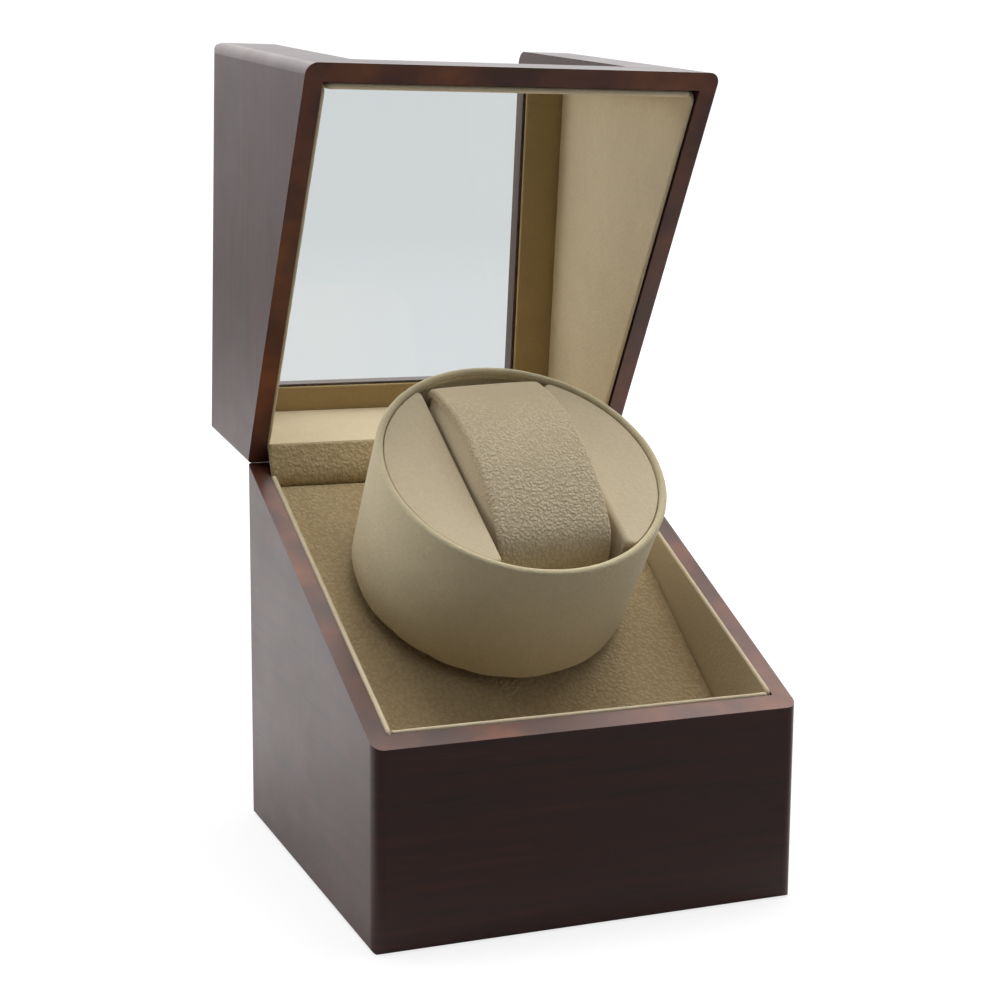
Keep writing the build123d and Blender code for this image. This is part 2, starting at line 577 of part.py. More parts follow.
# --------------------------------------------------------------- gearmotor
gbx = cyl(12.5, -33.0, Q0, 0, -CENTRE)
gbx = gbx - cyl(PSH + 0.05, -20.5, Q0 + 1, 0, -CENTRE)
for hx, hy in MOTOR_SCREWS:
    gbx = gbx - cyl(1.2, -20.0, Q0 + 1, hx, hy)
gbx = gbx - (cyl(14, -24.4, -23.8, 0, -CENTRE) - cyl(12.1, -25, -23, 0, -CENTRE))
parts["motor_gearbox"] = on_drive(gbx)
can = fillet(cyl(12.0, -52.0, -33.0, 0, -CENTRE).edges().sort_by(Axis.Z)[0], 1.5)
can = can + cyl(4.0, -53.6, -52.0, 0, -CENTRE)
can = can + box(-7.6, -5.2, -CENTRE - 0.3, -CENTRE + 0.3, -55.0, -52.0)
can = can + box(5.2, 7.6, -CENTRE - 0.3, -CENTRE + 0.3, -55.0, -52.0)
parts["motor_can"] = on_drive(can)
parts["motor_screws"] = on_drive(group(*[
    pan_screw(hx, hy, Q1, 6.5, 1.15, 2.1, 1.1) for hx, hy in MOTOR_SCREWS]))

# ------------------------------------------------------------ control board
BX, BY0, BY1 = 28.0, -48.0, -12.0
BZ0 = BP1 + 6.0
BZ1 = BZ0 + 1.6
BOARD_HOLES = [(sx * 24.5, y) for sx in (-1, 1) for y in (-44.5, -15.5)]
pcb = box(-BX, BX, BY0, BY1, BZ0, BZ1)
for hx, hy in BOARD_HOLES:
    pcb = pcb - cyl(1.2, BZ0 - 1, BZ1 + 1, hx, hy)
parts["control_board"] = pcb
# snap-in nylon standoffs: a foot below the board, a barbed head above it
parts["board_standoffs"] = group(*[
    cyl(3.0, BP1, BZ0, hx, hy) + cyl(1.15, BZ0, BZ1, hx, hy) + (
        Pos(hx, hy, BZ1) * Cone(1.7, 0.7, 2.2, align=BOT)) for hx, hy in BOARD_HOLES])
chips = [box(-9, 3, -34, -27.5, BZ1, BZ1 + 2.6),
         cyl(4.0, BZ1, BZ1 + 10.5, 12, -38),
         cyl(2.5, BZ1, BZ1 + 7.0, -16, -40),
         box(8, 17, -28, -20, BZ1, BZ1 + 7.5),
         box(-22, -13, -21, -15, BZ1, BZ1 + 6.0),
         box(-6, 6, -21, -15, BZ1, BZ1 + 6.0),
         box(18, 21, -41, -36, BZ1, BZ1 + 3.5)]
parts["board_components"] = group(*chips)

# ------------------------------------------------------------ rear controls
RX, JX, KX = -19.0, 0.0, 19.0            # rocker, jack, knob across the plate
yp0, yp1 = YB - PLATE_T, YB
rplate = box(-PLATE_X, PLATE_X, yp0, yp1, CZ - PLATE_Z, CZ + PLATE_Z)
rplate = fillet(rplate.edges().filter_by(Axis.Y), 1.2)
rplate = rplate - box(RX - 4.5, RX + 4.5, yp0 - 1, yp1 + 1, CZ - 7.2, CZ + 7.2)
rplate = rplate - cyl_y(4.0, yp0 - 1, yp1 + 1, JX, CZ)
rplate = rplate - cyl_y(3.3, yp0 - 1, yp1 + 1, KX, CZ)
for px, pz in PLATE_SCREWS:
    rplate = rplate - cyl_y(1.05, yp0 - 1, yp1 + 1, px, pz)
    rplate = rplate - Pos(px, yp1 + 0.01, pz) * Rot(90, 0, 0) * Cone(
        1.95, 1.0, 1.0, align=BOT)
parts["rear_plate"] = rplate
rps = []
for px, pz in PLATE_SCREWS:
    s = Pos(px, yp1 - 0.03, pz) * Rot(90, 0, 0) * Cone(1.85, 0.9, 0.96, align=BOT)
    s = s + cyl_y(0.88, yp1 - 4.8, yp1 - 0.9, px, pz)
    s = s - box(px - 1.3, px + 1.3, yp1 - 0.4, yp1 + 1, pz - 0.2, pz + 0.2)
    rps.append(s)
parts["rear_plate_screws"] = group(*rps)

# DC inlet: threaded barrel with a flange outside and a nut inside
jack = cyl_y(3.9, 50.5, yp1, JX, CZ) + cyl_y(5.3, yp1, yp1 + 1.4, JX, CZ)
jack = jack - cyl_y(2.85, 54.6, yp1 + 3, JX, CZ)
jpin = cyl_y(1.0, 54.6, yp1 + 0.4, JX, CZ)
parts["dc_jack"] = group(jack, jpin)
nut = Pos(JX, yp0, CZ) * Rot(90, 0, 0) * extrude(RegularPolygon(5.6, 6), amount=2.0)
parts["jack_nut"] = nut - cyl_y(3.95, 50, yp1 + 1, JX, CZ)

# rocker switch
ROCK_Y = 60.3
house = box(RX - 4.4, RX + 4.4, 50.0, yp1, CZ - 7.1, CZ + 7.1)
house = house + box(RX - 5.4, RX + 5.4, yp1, yp1 + 1.6, CZ - 8.2, CZ + 8.2)
house = house - box(RX - 3.3, RX + 3.3, 55.2, yp1 + 4, CZ - 6.4, CZ + 6.4)
house = house - cyl_x(0.86, RX - 4.1, RX + 4.1, ROCK_Y, CZ)
parts["rocker_housing"] = house
# the rocker's two faces meet in a shallow valley; drawn level, then tipped
rk = [(-2.6, -4.2), (-2.6, 4.2), (1.0, 5.5), (4.6, 5.7), (3.3, 0.0), (4.6, -5.7), (1.0, -5.5)]
rocker = prism([(ROCK_Y + a, CZ + b) for a, b in rk], RX - 3.1, RX + 3.1)
rocker = rocker + cyl_x(0.8, RX - 3.9, RX + 3.9, ROCK_Y, CZ)
ROCK_TILT = 7.0
parts["rocker"] = rocker.rotate(Axis((RX, ROCK_Y, CZ), (1, 0, 0)), -ROCK_TILT)

# mode switch with its knob and shaft
sw = box(KX - 6.0, KX + 6.0, 52.5, yp0, CZ - 6.0, CZ + 6.0)
sw = sw + cyl_y(3.2, yp0, yp1 + 1.4, KX, CZ)
sw = sw - cyl_y(2.05, 55.0, yp1 + 3, KX, CZ)
parts["mode_switch"] = sw
parts["mode_shaft"] = cyl_y(2.0, 55.3, yp1 + 6.0, KX, CZ)
knob = cyl_y(6.2, yp1 + 1.8, yp1 + 8.2, KX, CZ)
knob = chamfer(knob.edges().sort_by(Axis.Y)[-1], 0.7)
for t in range(18):
    a = math.radians(20 * t)
    knob = knob - cyl_y(0.45, yp1 + 2.6, yp1 + 9, KX + 6.35 * math.cos(a), CZ + 6.35 * math.sin(a))
knob = knob - cyl_y(2.0, yp1, yp1 + 6.0, KX, CZ)
knob = knob - box(KX - 0.4, KX + 0.4, yp1 + 7.7, yp1 + 9, CZ + 1.5, CZ + 6.0)
parts["mode_knob"] = knob


# ------------------------------------------------------------------- wiring
def wire(points, r=0.65):
    """Round wire along straight runs with arcs in the corners."""
    radii = []
    for i in range(1, len(points) - 1):
        a = Vector(*points[i]) - Vector(*points[i - 1])
        b = Vector(*points[i + 1]) - Vector(*points[i])
        half = math.radians(a.get_angle(b)) / 2.0
        radii.append(0.45 * min(a.length, b.length) / math.tan(half))
    path = FilletPolyline(*points, radius=radii)
    start = path @ 0
    face = Plane(origin=start, z_dir=path % 0) * Circle(r)
    return sweep(face, path=path)


def drive_xyz(x, u, z):
    p = DRIVE.from_local_coords((x, u, z))
    return (p.X, p.Y, p.Z)


wires = []
for sx in (-1, 1):
    wires.append(wire([drive_xyz(sx * 6.4, -CENTRE, -55.05),
                       drive_xyz(sx * 6.4, -CENTRE, -59.0),
                       (sx * 6.0, 29.0, 11.5), (sx * 4.0, 12.0, 12.5), (sx * 2.6, -4.0, 15.0),
                       (sx * 2.6, -14.95, 15.0)]))
for dx, bx in ((-2.2, -18.6), (2.2, -16.4)):
    wires.append(wire([(RX + dx, 49.9, CZ), (RX + dx, 44.0, CZ - 0.6),
                       (RX + dx + 1.0, 30.0, 12.5), (bx, 12.0, 10.5), (bx, -5.0, 14.6),
                       (bx, -14.95, 15.0)]))
for dx in (-1.6, 1.6):
    wires.append(wire([(KX + dx, 52.4, CZ - 3.0), (KX + dx, 46.0, CZ - 3.8),
                       (KX - 3.0 + dx, 30.0, 11.5), (14.0 + dx, 10.0, 10.5),
                       (12.5 + dx, -8.0, 14.4), (12.5 + dx, -19.95, 15.0)]))
parts["wiring"] = group(*wires)


# ------------------------------------------------------------------ the cuff
def cuff_face(inset):
    """Closed outline in (u, z), drawn with u along x and pulled in by inset.

    Its crown is one arc. A tight shoulder rounds its upper end, an easier one
    its lower end, and both sides run straight down to two round corners."""
    zc0 = CUFF_TOP - CUFF_ARCH
    arch = CUFF_ARCH - inset
    ends = []
    for sgn, reach, r in ((1, CUFF_U1, CUFF_R1), (-1, CUFF_U2, CUFF_R2)):
        cu = sgn * (reach - r)
        cz = zc0 + math.sqrt((CUFF_ARCH - r) ** 2 - (cu - CUFF_UM) ** 2)
        # direction from the crown's centre through the shoulder's centre
        dx, dz = cu - CUFF_UM, cz - zc0
        dl = math.hypot(dx, dz)
        dx, dz = dx / dl, dz / dl
        ri = r - inset
        tangent = (cu + dx * ri, 0, cz + dz * ri)
        mx, mz = dx + sgn, dz
        ml = math.hypot(mx, mz)
        middle = (cu + mx / ml * ri, 0, cz + mz / ml * ri)
        side = (cu + sgn * ri, 0, cz)
        r3 = CUFF_R3 - inset
        cb = sgn * (reach - CUFF_R3)
        zb = CUFF_BOT + CUFF_R3
        q = math.sqrt(0.5)
        ends.append((tangent, middle, side, (side[0], 0, zb),
                     (cb + sgn * r3 * q, 0, zb - r3 * q), (cb, 0, zb - r3)))
    a, b = ends
    top = (CUFF_UM, 0, CUFF_TOP - inset)
    e = [ThreePointArc(b[0], top, a[0]),
         ThreePointArc(a[0], a[1], a[2]), Line(a[2], a[3]),
         ThreePointArc(a[3], a[4], a[5]), Line(a[5], b[5]),
         ThreePointArc(b[5], b[4], b[3]), Line(b[3], b[2]),
         ThreePointArc(b[2], b[1], b[0])]
    return make_face(e)


def cuff_solid(inset, x0, x1):
    """The outline is drawn in (x, z) and turned so that its length lies along u."""
    f = cuff_face(inset)
    s = extrude(f, amount=x1 - x0, dir=(0, 1, 0))
    return Pos(x1, 0, 0) * Rot(0, 0, 90) * s


band = cuff_solid(0.0, -CUFF_X, CUFF_X) - cuff_solid(CUFF_BAND, -CUFF_X - 1, CUFF_X + 1)
parts["cuff_band"] = on_cup(band)
SIDE_IN = 1.2
core = cuff_solid(CUFF_BAND + 0.02, -CUFF_X + SIDE_IN + 1.5, CUFF_X - SIDE_IN - 1.5)
parts["cuff_foam"] = on_cup(core)
parts["cuff_sides"] = on_cup(group(
    cuff_solid(CUFF_BAND + 0.02, -CUFF_X + SIDE_IN, -CUFF_X + SIDE_IN + 1.48),
    cuff_solid(CUFF_BAND + 0.02, CUFF_X - SIDE_IN - 1.48, CUFF_X - SIDE_IN)))

# ------------------------------------------------------------------- export
os.makedirs("parts", exist_ok=True)
for name, shape in parts.items():
    export_step(shape.moved(Location((0, 0, FOOT))), "parts/" + name + ".step")
print(len(parts), "nodes")
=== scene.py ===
import math

import bmesh
import bpy
import numpy as np
from mathutils import Matrix, Vector, noise


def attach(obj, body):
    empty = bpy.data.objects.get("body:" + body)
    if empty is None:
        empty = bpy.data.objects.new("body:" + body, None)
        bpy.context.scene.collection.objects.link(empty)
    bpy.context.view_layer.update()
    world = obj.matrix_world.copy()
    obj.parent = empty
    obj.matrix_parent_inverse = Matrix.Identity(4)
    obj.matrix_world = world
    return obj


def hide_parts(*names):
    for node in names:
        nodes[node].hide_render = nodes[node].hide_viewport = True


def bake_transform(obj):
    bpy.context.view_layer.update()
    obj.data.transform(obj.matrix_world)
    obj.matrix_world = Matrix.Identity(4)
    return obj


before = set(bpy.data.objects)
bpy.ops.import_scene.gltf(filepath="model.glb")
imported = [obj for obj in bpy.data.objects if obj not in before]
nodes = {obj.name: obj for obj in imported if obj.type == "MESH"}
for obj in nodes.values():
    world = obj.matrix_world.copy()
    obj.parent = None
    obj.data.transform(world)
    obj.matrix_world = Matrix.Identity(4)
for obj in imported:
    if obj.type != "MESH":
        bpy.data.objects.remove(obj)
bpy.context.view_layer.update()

# ---------------------------------------------------------------- dimensions
# millimetres, in the wood's own frame: its underside is z = 0, lid upright
W, D, H = 126.0, 126.0, 165.6
ZR, ZF = 113.2, 55.6
T = 5.4
FOOT = 0.8
OPEN = math.radians(84.2)
YB = D / 2.0
IX, IY = W / 2.0 - T, D / 2.0 - T
K = (ZR - ZF) / D
TILT = math.radians(35.5)
P0Y, P0Z = 18.52, 80.14
LINER = 1.35
FRONT_T = 1.9
CUP_TURN = math.radians(3.2)
CUP_TOP, CUP_BOT = 49.1, 3.6
CUP_R1, CUP_R0, CUP_WALL = 43.46, 42.7, 2.45
SLOT = 19.5
WIN_X, WIN_Z, WIN_Y, WIN_R = 43.35, 78.5, 48.6, 2.2


def rim(y):
    return ZR + (y - YB) * K


def floor_z(y):
    return P0Z + (y - P0Y) * math.tan(TILT)


# ------------------------------------------------------------ places, to metres
def at_base(p):
    p = np.asarray(p, float).reshape(-1, 3)
    return (p + [0, 0, FOOT]) * 0.001


def at_lid(p):
    """A point of the upright lid, carried to where the open lid has it."""
    p = np.asarray(p, float).reshape(-1, 3)
    dy, dz = p[:, 1] - YB, p[:, 2] - ZR
    y = YB + dy * math.cos(OPEN) + dz * math.sin(OPEN)
    z = ZR - dy * math.sin(OPEN) + dz * math.cos(OPEN)
    return np.column_stack([p[:, 0], y, z + FOOT]) * 0.001


def at_drive(p):
    """(x, up the slope, height above the tray floor)."""
    p = np.asarray(p, float).reshape(-1, 3)
    y = P0Y + p[:, 1] * math.cos(TILT) - p[:, 2] * math.sin(TILT)
    z = P0Z + p[:, 1] * math.sin(TILT) + p[:, 2] * math.cos(TILT)
    return np.column_stack([p[:, 0], y, z + FOOT]) * 0.001


def at_cup(p):
    """As at_drive, for pieces that turn with the cup: its rest place is turned a little."""
    p = np.asarray(p, float).reshape(-1, 3)
    c, s = math.cos(CUP_TURN), math.sin(CUP_TURN)
    return at_drive(np.column_stack([p[:, 0] * c - p[:, 1] * s, p[:, 0] * s + p[:, 1] * c, p[:, 2]]))


# --------------------------------------------------------------- mesh helpers
def wobble(p, size, amount, seed=0.0):
    """Smooth offsets of up to about amount mm, with bumps about size mm wide."""
    out = np.empty(len(p))
    for i, (x, y, z) in enumerate(p):
        out[i] = noise.noise(Vector((x / size + seed, y / size + 3.1 * seed, z / size - seed)))
    return out * amount


def make(name, pts, faces, body, replaces=(), mat=None, smooth=True):
    """A mesh object from points already in metres, in the row frame."""
    me = bpy.data.meshes.new(name)
    me.from_pydata([tuple(p) for p in pts], [], [tuple(f) for f in faces])
    me.validate()
    bm = bmesh.new()
    bm.from_mesh(me)
    bmesh.ops.recalc_face_normals(bm, faces=bm.faces)
    bm.to_mesh(me)
    bm.free()
    me.update()
    for poly in me.polygons:
        poly.use_smooth = smooth
    ob = bpy.data.objects.new(name, me)
    bpy.context.scene.collection.objects.link(ob)
    if mat is not None:
        me.materials.append(mat)
    if body:
        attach(ob, body)
    if replaces:
        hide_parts(*replaces)
    return ob


def area2(poly):
    x, y = poly[:, 0], poly[:, 1]
    return float(np.sum(x * np.roll(y, -1) - np.roll(x, -1) * y))


def round_poly(points, radii, seg=8):
    """Polygon with its corners rounded."""
    out = []
    n = len(points)
    for i in range(n):
        p = np.array(points[i], float)
        r = radii[i] if hasattr(radii, "__len__") else radii
        if r <= 0:
            out.append(p)
            continue
        a = np.array(points[i - 1], float) - p
        b = np.array(points[(i + 1) % n], float) - p
        la, lb = np.linalg.norm(a), np.linalg.norm(b)
        a, b = a / la, b / lb
        half = math.acos(max(-1.0, min(1.0, float(a @ b)))) / 2.0
        cut = min(r / math.tan(half), 0.45 * la, 0.45 * lb)
        r = cut * math.tan(half)
        mid = (a + b) / np.linalg.norm(a + b)
        c = p + mid * (r / math.sin(half))
        s, e = p + a * cut - c, p + b * cut - c
        t0 = math.atan2(s[1], s[0])
        t1 = math.atan2(e[1], e[0])
        dt = (t1 - t0 + math.pi) % (2 * math.pi) - math.pi
        for k in range(seg + 1):
            t = t0 + dt * k / seg
            out.append(c + r * np.array([math.cos(t), math.sin(t)]))
    return np.array(out)


def dense(poly, step):
    """The same closed outline with no side longer than step."""
    out = []
    n = len(poly)
    for i in range(n):
        a, b = poly[i], poly[(i + 1) % n]
        k = max(1, int(math.ceil(np.linalg.norm(b - a) / step)))
        for j in range(k):
            out.append(a + (b - a) * j / k)
    return np.array(out)


def inset_dirs(poly):
    """Inward mitre direction at each point of a counterclockwise outline."""
    nxt, prv = np.roll(poly, -1, 0), np.roll(poly, 1, 0)
    d1 = poly - prv
    d2 = nxt - poly
    d1 /= np.maximum(np.linalg.norm(d1, axis=1, keepdims=True), 1e-9)
    d2 /= np.maximum(np.linalg.norm(d2, axis=1, keepdims=True), 1e-9)
    n1 = np.column_stack([-d1[:, 1], d1[:, 0]])
    n2 = np.column_stack([-d2[:, 1], d2[:, 0]])
    m = n1 + n2
    m /= np.maximum(np.linalg.norm(m, axis=1, keepdims=True), 1e-9)
    c = np.maximum(0.35, np.sum(m * n1, axis=1))
    return m / c[:, None]


def board(name, outline, c0, c1, to_abc, place, body, replaces, mat,
          r_top=0.9, r_bot=0.9, holes=(), step=3.0, wave=0.0, wave_size=9.0, seed=1.0, arc=6,
          top_of=None):
    """A wrapped board: an outline (a, b) carried from c0 to c1, the visible face at c1,
    with rolled edges. to_abc turns (a, b, c) into x, y, z of the place given. top_of gives
    the part of r_top that each outline point has."""
    loops = []
    outer = np.array(outline, float)
    if area2(outer) < 0:
        outer = outer[::-1]
    loops.append(dense(outer, step))
    for h in holes:
        h = np.array(h, float)
        if area2(h) > 0:
            h = h[::-1]
        loops.append(dense(h, step))
    up = c1 > c0
    sgn = 1.0 if up else -1.0
    prof = []                    # (inset, c) and what a full top radius adds to both
    prof.append((r_bot + 0.25, c0, 0.0, 0.0))
    for k in range(arc + 1):
        t = math.pi / 2 * k / arc
        prof.append((r_bot * (1 - math.sin(t)), c0 + sgn * r_bot * (1 - math.cos(t)), 0.0, 0.0))
    for k in range(arc + 1):
        t = math.pi / 2 * k / arc
        prof.append((0.0, c1, r_top * (1 - math.cos(t)), -sgn * r_top * (1 - math.sin(t))))
    prof.append((0.25, c1, r_top, 0.0))
    verts, faces = [], []
    caps0, caps1 = [], []
    for loop in loops:
        dirs = inset_dirs(loop)
        n = len(loop)
        base = len(verts)
        part = np.ones(n) if top_of is None else np.array([top_of(a, b) for a, b in loop])
        for ins, c, more, down in prof:
            ring = loop + dirs * (ins + more * part)[:, None]
            verts.extend([(a, b, c + down * q) for (a, b), q in zip(ring, part)])
        for r in range(len(prof) - 1):
            for i in range(n):
                j = (i + 1) % n
                faces.append((base + r * n + i, base + r * n + j,
                              base + (r + 1) * n + j, base + (r + 1) * n + i))
        caps0.append([base + i for i in range(n)])
        caps1.append([base + (len(prof) - 1) * n + i for i in range(n)])
    verts = np.array(verts)
    # caps, by filling the flat rings
    for caps in (caps0, caps1):
        bm = bmesh.new()
        vmap = {}
        for ring in caps:
            for i in ring:
                v = bm.verts.new((verts[i][0], verts[i][1], 0))
                vmap[v] = i
        bm.verts.ensure_lookup_table()
        inv = {i: v for v, i in vmap.items()}
        es = []
        for ring in caps:
            for k in range(len(ring)):
                es.append(bm.edges.new((inv[ring[k]], inv[ring[(k + 1) % len(ring)]])))
        bmesh.ops.triangle_fill(bm, edges=es, use_beauty=True, use_dissolve=False)
        for f in bm.faces:
            faces.append([vmap[v] for v in f.verts])
        bm.free()
    if wave:
        dirs_all = np.zeros((len(verts), 2))
        k = 0
        for loop in loops:
            d = inset_dirs(loop)
            for _ in prof:
                dirs_all[k:k + len(loop)] = d
                k += len(loop)
        w = wobble(verts, wave_size, wave, seed)
        edge = np.abs(verts[:, 2] - c1) < r_top * 1.05
        verts[:, :2] += dirs_all * (np.abs(w) * edge)[:, None]
        verts[:, 2] += np.where(edge, -sgn * np.abs(wobble(verts, wave_size, wave, seed + 7)) * 0.5, 0.0)
    xyz = to_abc(verts)
    return make(name, place(xyz), faces, body, replaces, mat)


# ------------------------------------------------------------------ materials
def new_mat(name):
    m = bpy.data.materials.new(name)
    m.use_nodes = True
    nt = m.node_tree
    nt.nodes.clear()
    out = nt.nodes.new("ShaderNodeOutputMaterial")
    return m, nt, out


class Net:
    def __init__(self, nt):
        self.nt = nt

    def add(self, kind, **inputs):
        n = self.nt.nodes.new(kind)
        for k, v in inputs.items():
            if k.startswith("_"):
                setattr(n, k[1:], v)
            else:
                self.set(n, k, v)
        return n

    def set(self, n, k, v):
        key = int(k[1:]) if k[0] == "i" and k[1:].isdigit() else k.replace("__", " ")
        sock = n.inputs[key]
        if isinstance(v, bpy.types.NodeSocket):
            self.nt.links.new(v, sock)
        elif isinstance(v, bpy.types.Node):
            self.nt.links.new(v.outputs[0], sock)
        else:
            sock.default_value = v

    def mapped(self, scale=(1, 1, 1), rot=(0, 0, 0), loc=(0, 0, 0)):
        tc = self.add("ShaderNodeTexCoord")
        mp = self.add("ShaderNodeMapping", Scale=scale, Rotation=rot, Location=loc)
        self.nt.links.new(tc.outputs["Object"], mp.inputs["Vector"])
        return mp.outputs[0]

    def noise(self, vec, scale, detail=3.0, rough=0.5, dist=0.0, kind="FBM", lac=2.0):
        n = self.add("ShaderNodeTexNoise", _noise_type=kind, _normalize=True, Scale=scale,
                     Detail=detail, Roughness=rough, Distortion=dist, Lacunarity=lac)
        self.nt.links.new(vec, n.inputs["Vector"])
        return n.outputs["Fac"]

    def ramp(self, fac, stops, interp="LINEAR"):
        r = self.add("ShaderNodeValToRGB")
        r.color_ramp.interpolation = interp
        els = r.color_ramp.elements
        while len(els) > 1:
            els.remove(els[-1])
        els[0].position = stops[0][0]
        els[0].color = stops[0][1]
        for pos, col in stops[1:]:
            e = els.new(pos)
            e.color = col
        self.nt.links.new(fac, r.inputs["Fac"])
        return r.outputs["Color"]

    def math(self, op, a, b=None, clamp=False):
        n = self.add("ShaderNodeMath", _operation=op, _use_clamp=clamp)
        self.set(n, "i0", a)
        if b is not None:
            self.set(n, "i1", b)
        return n.outputs[0]

    def maprange(self, v, a, b, c=0.0, d=1.0, smooth=False):
        n = self.add("ShaderNodeMapRange", _clamp=True,
                     _interpolation_type="SMOOTHSTEP" if smooth else "LINEAR")
        self.set(n, "Value", v)
        for k, x in (("From__Min", a), ("From__Max", b), ("To__Min", c), ("To__Max", d)):
            self.set(n, k, x)
        return n.outputs[0]

    def mix(self, fac, a, b, blend="MIX"):
        n = self.add("ShaderNodeMix", _data_type="RGBA", _blend_type=blend)
        self.set(n, "i0", fac)
        self.set(n, "i6", a)
        self.set(n, "i7", b)
        return n.outputs[2]

    def bump(self, height, distance, strength=1.0, normal=None):
        n = self.add("ShaderNodeBump", Distance=distance, Strength=strength)
        self.nt.links.new(height, n.inputs["Height"])
        if normal is not None:
            self.nt.links.new(normal, n.inputs["Normal"])
        return n.outputs[0]


def rgb(r, g, b):
    """From 0-255 screen values."""
    def f(c):
        c /= 255.0
        return c / 12.92 if c <= 0.04045 else ((c + 0.055) / 1.055) ** 2.4
    return (f(r), f(g), f(b), 1.0)


def scaled(c, k):
    return (c[0] * k, c[1] * k, c[2] * k, 1.0)


def suede(name, colour, nap=0.10, pitch=0.0015, depth=0.00010, fibre=0.35, sheen=0.25,
          rough=0.92, fade=None, stretch=(1.0, 1.0, 1.0), shade=0.3, lines=None):
    """Microsuede: a short nap that lies in drifting patches, over fine fibre. pitch is
    the width of one pebble of nap and depth its height, in metres."""
    m, nt, out = new_mat(name)
    g = Net(nt)
    v = g.mapped()
    vs_ = g.mapped(stretch)
    patches = g.noise(v, 30.0, 4.0, 0.55, 0.6)
    mottle = g.noise(v, 240.0, 3.0, 0.6, 0.4)
    warp = g.add("ShaderNodeTexNoise", _noise_type="FBM", _normalize=True, Scale=0.55 / pitch,
                 Detail=1.0, Roughness=0.5, Distortion=0.0)
    nt.links.new(vs_, warp.inputs["Vector"])
    off = g.add("ShaderNodeVectorMath", _operation="SCALE")
    nt.links.new(warp.outputs["Color"], off.inputs[0])
    off.inputs["Scale"].default_value = 0.8 * pitch
    bent = g.add("ShaderNodeVectorMath", _operation="ADD")
    nt.links.new(vs_, bent.inputs[0])
    nt.links.new(off.outputs[0], bent.inputs[1])
    vor = g.add("ShaderNodeTexVoronoi", _feature="SMOOTH_F1", Scale=1.0 / pitch, Smoothness=0.35,
                Randomness=1.0)
    nt.links.new(bent.outputs[0], vor.inputs["Vector"])
    big = g.maprange(vor.outputs["Distance"], 0.75, 0.12, 0.0, 1.0, True)
    small = g.maprange(g.noise(vs_, 2.1 / pitch, 1.0, 0.5, 0.4), 0.28, 0.72, 0.0, 1.0, True)
    grain = g.math("ADD", g.math("MULTIPLY", big, 0.72), g.math("MULTIPLY", small, 0.28))
    if fade is not None:
        # the nap is brushed flat at one end: fade = (axis vector, from, to, least)
        tc = g.add("ShaderNodeTexCoord")
        dot = g.add("ShaderNodeVectorMath", _operation="DOT_PRODUCT")
        nt.links.new(tc.outputs["Object"], dot.inputs[0])
        dot.inputs[1].default_value = fade[0]
        wander = g.math("MULTIPLY", g.math("SUBTRACT", g.noise(v, 60.0, 2.0, 0.5, 0.3), 0.5), 0.03)
        k = g.maprange(g.math("ADD", dot.outputs["Value"], wander), fade[1], fade[2], 1.0, fade[3], True)
        grain = g.math("MULTIPLY", grain, k)
    fine = g.noise(v, 5200.0, 2.0, 0.6, 0.0)
    height = g.math("ADD", grain, g.math("MULTIPLY", fine, fibre))
    if lines is not None:
        # fibres brushed one way: lines = (scale vector, weight)
        thread = g.noise(g.mapped(lines[0]), 100.0, 2.0, 0.5, 0.2)
        height = g.math("ADD", height, g.math("MULTIPLY", thread, lines[1]))
    dark, light = scaled(colour, 1.0 - nap), scaled(colour, 1.0 + nap)
    col = g.mix(g.maprange(patches, 0.3, 0.7), dark, light)
    col = g.mix(0.28, col, g.mix(g.maprange(mottle, 0.3, 0.7), scaled(colour, 1 - nap * 1.6),
                                  scaled(colour, 1 + nap * 1.2)))
    # hollows between the pebbles hold a little shade
    low = (colour[0] * 0.60, colour[1] * 0.55, colour[2] * 0.46, 1.0)
    col = g.mix(g.math("MULTIPLY", g.maprange(grain, 0.05, 0.55, 1.0, 0.0), shade), col, low)
    p = g.add("ShaderNodeBsdfPrincipled", Base__Color=col, Roughness=rough,
              Specular__IOR__Level=0.18, Sheen__Weight=sheen, Sheen__Roughness=0.45,
              Sheen__Tint=(0.95, 0.93, 0.88, 1.0))
    nt.links.new(g.bump(height, depth), p.inputs["Normal"])
    nt.links.new(p.outputs[0], out.inputs[0])
    return m


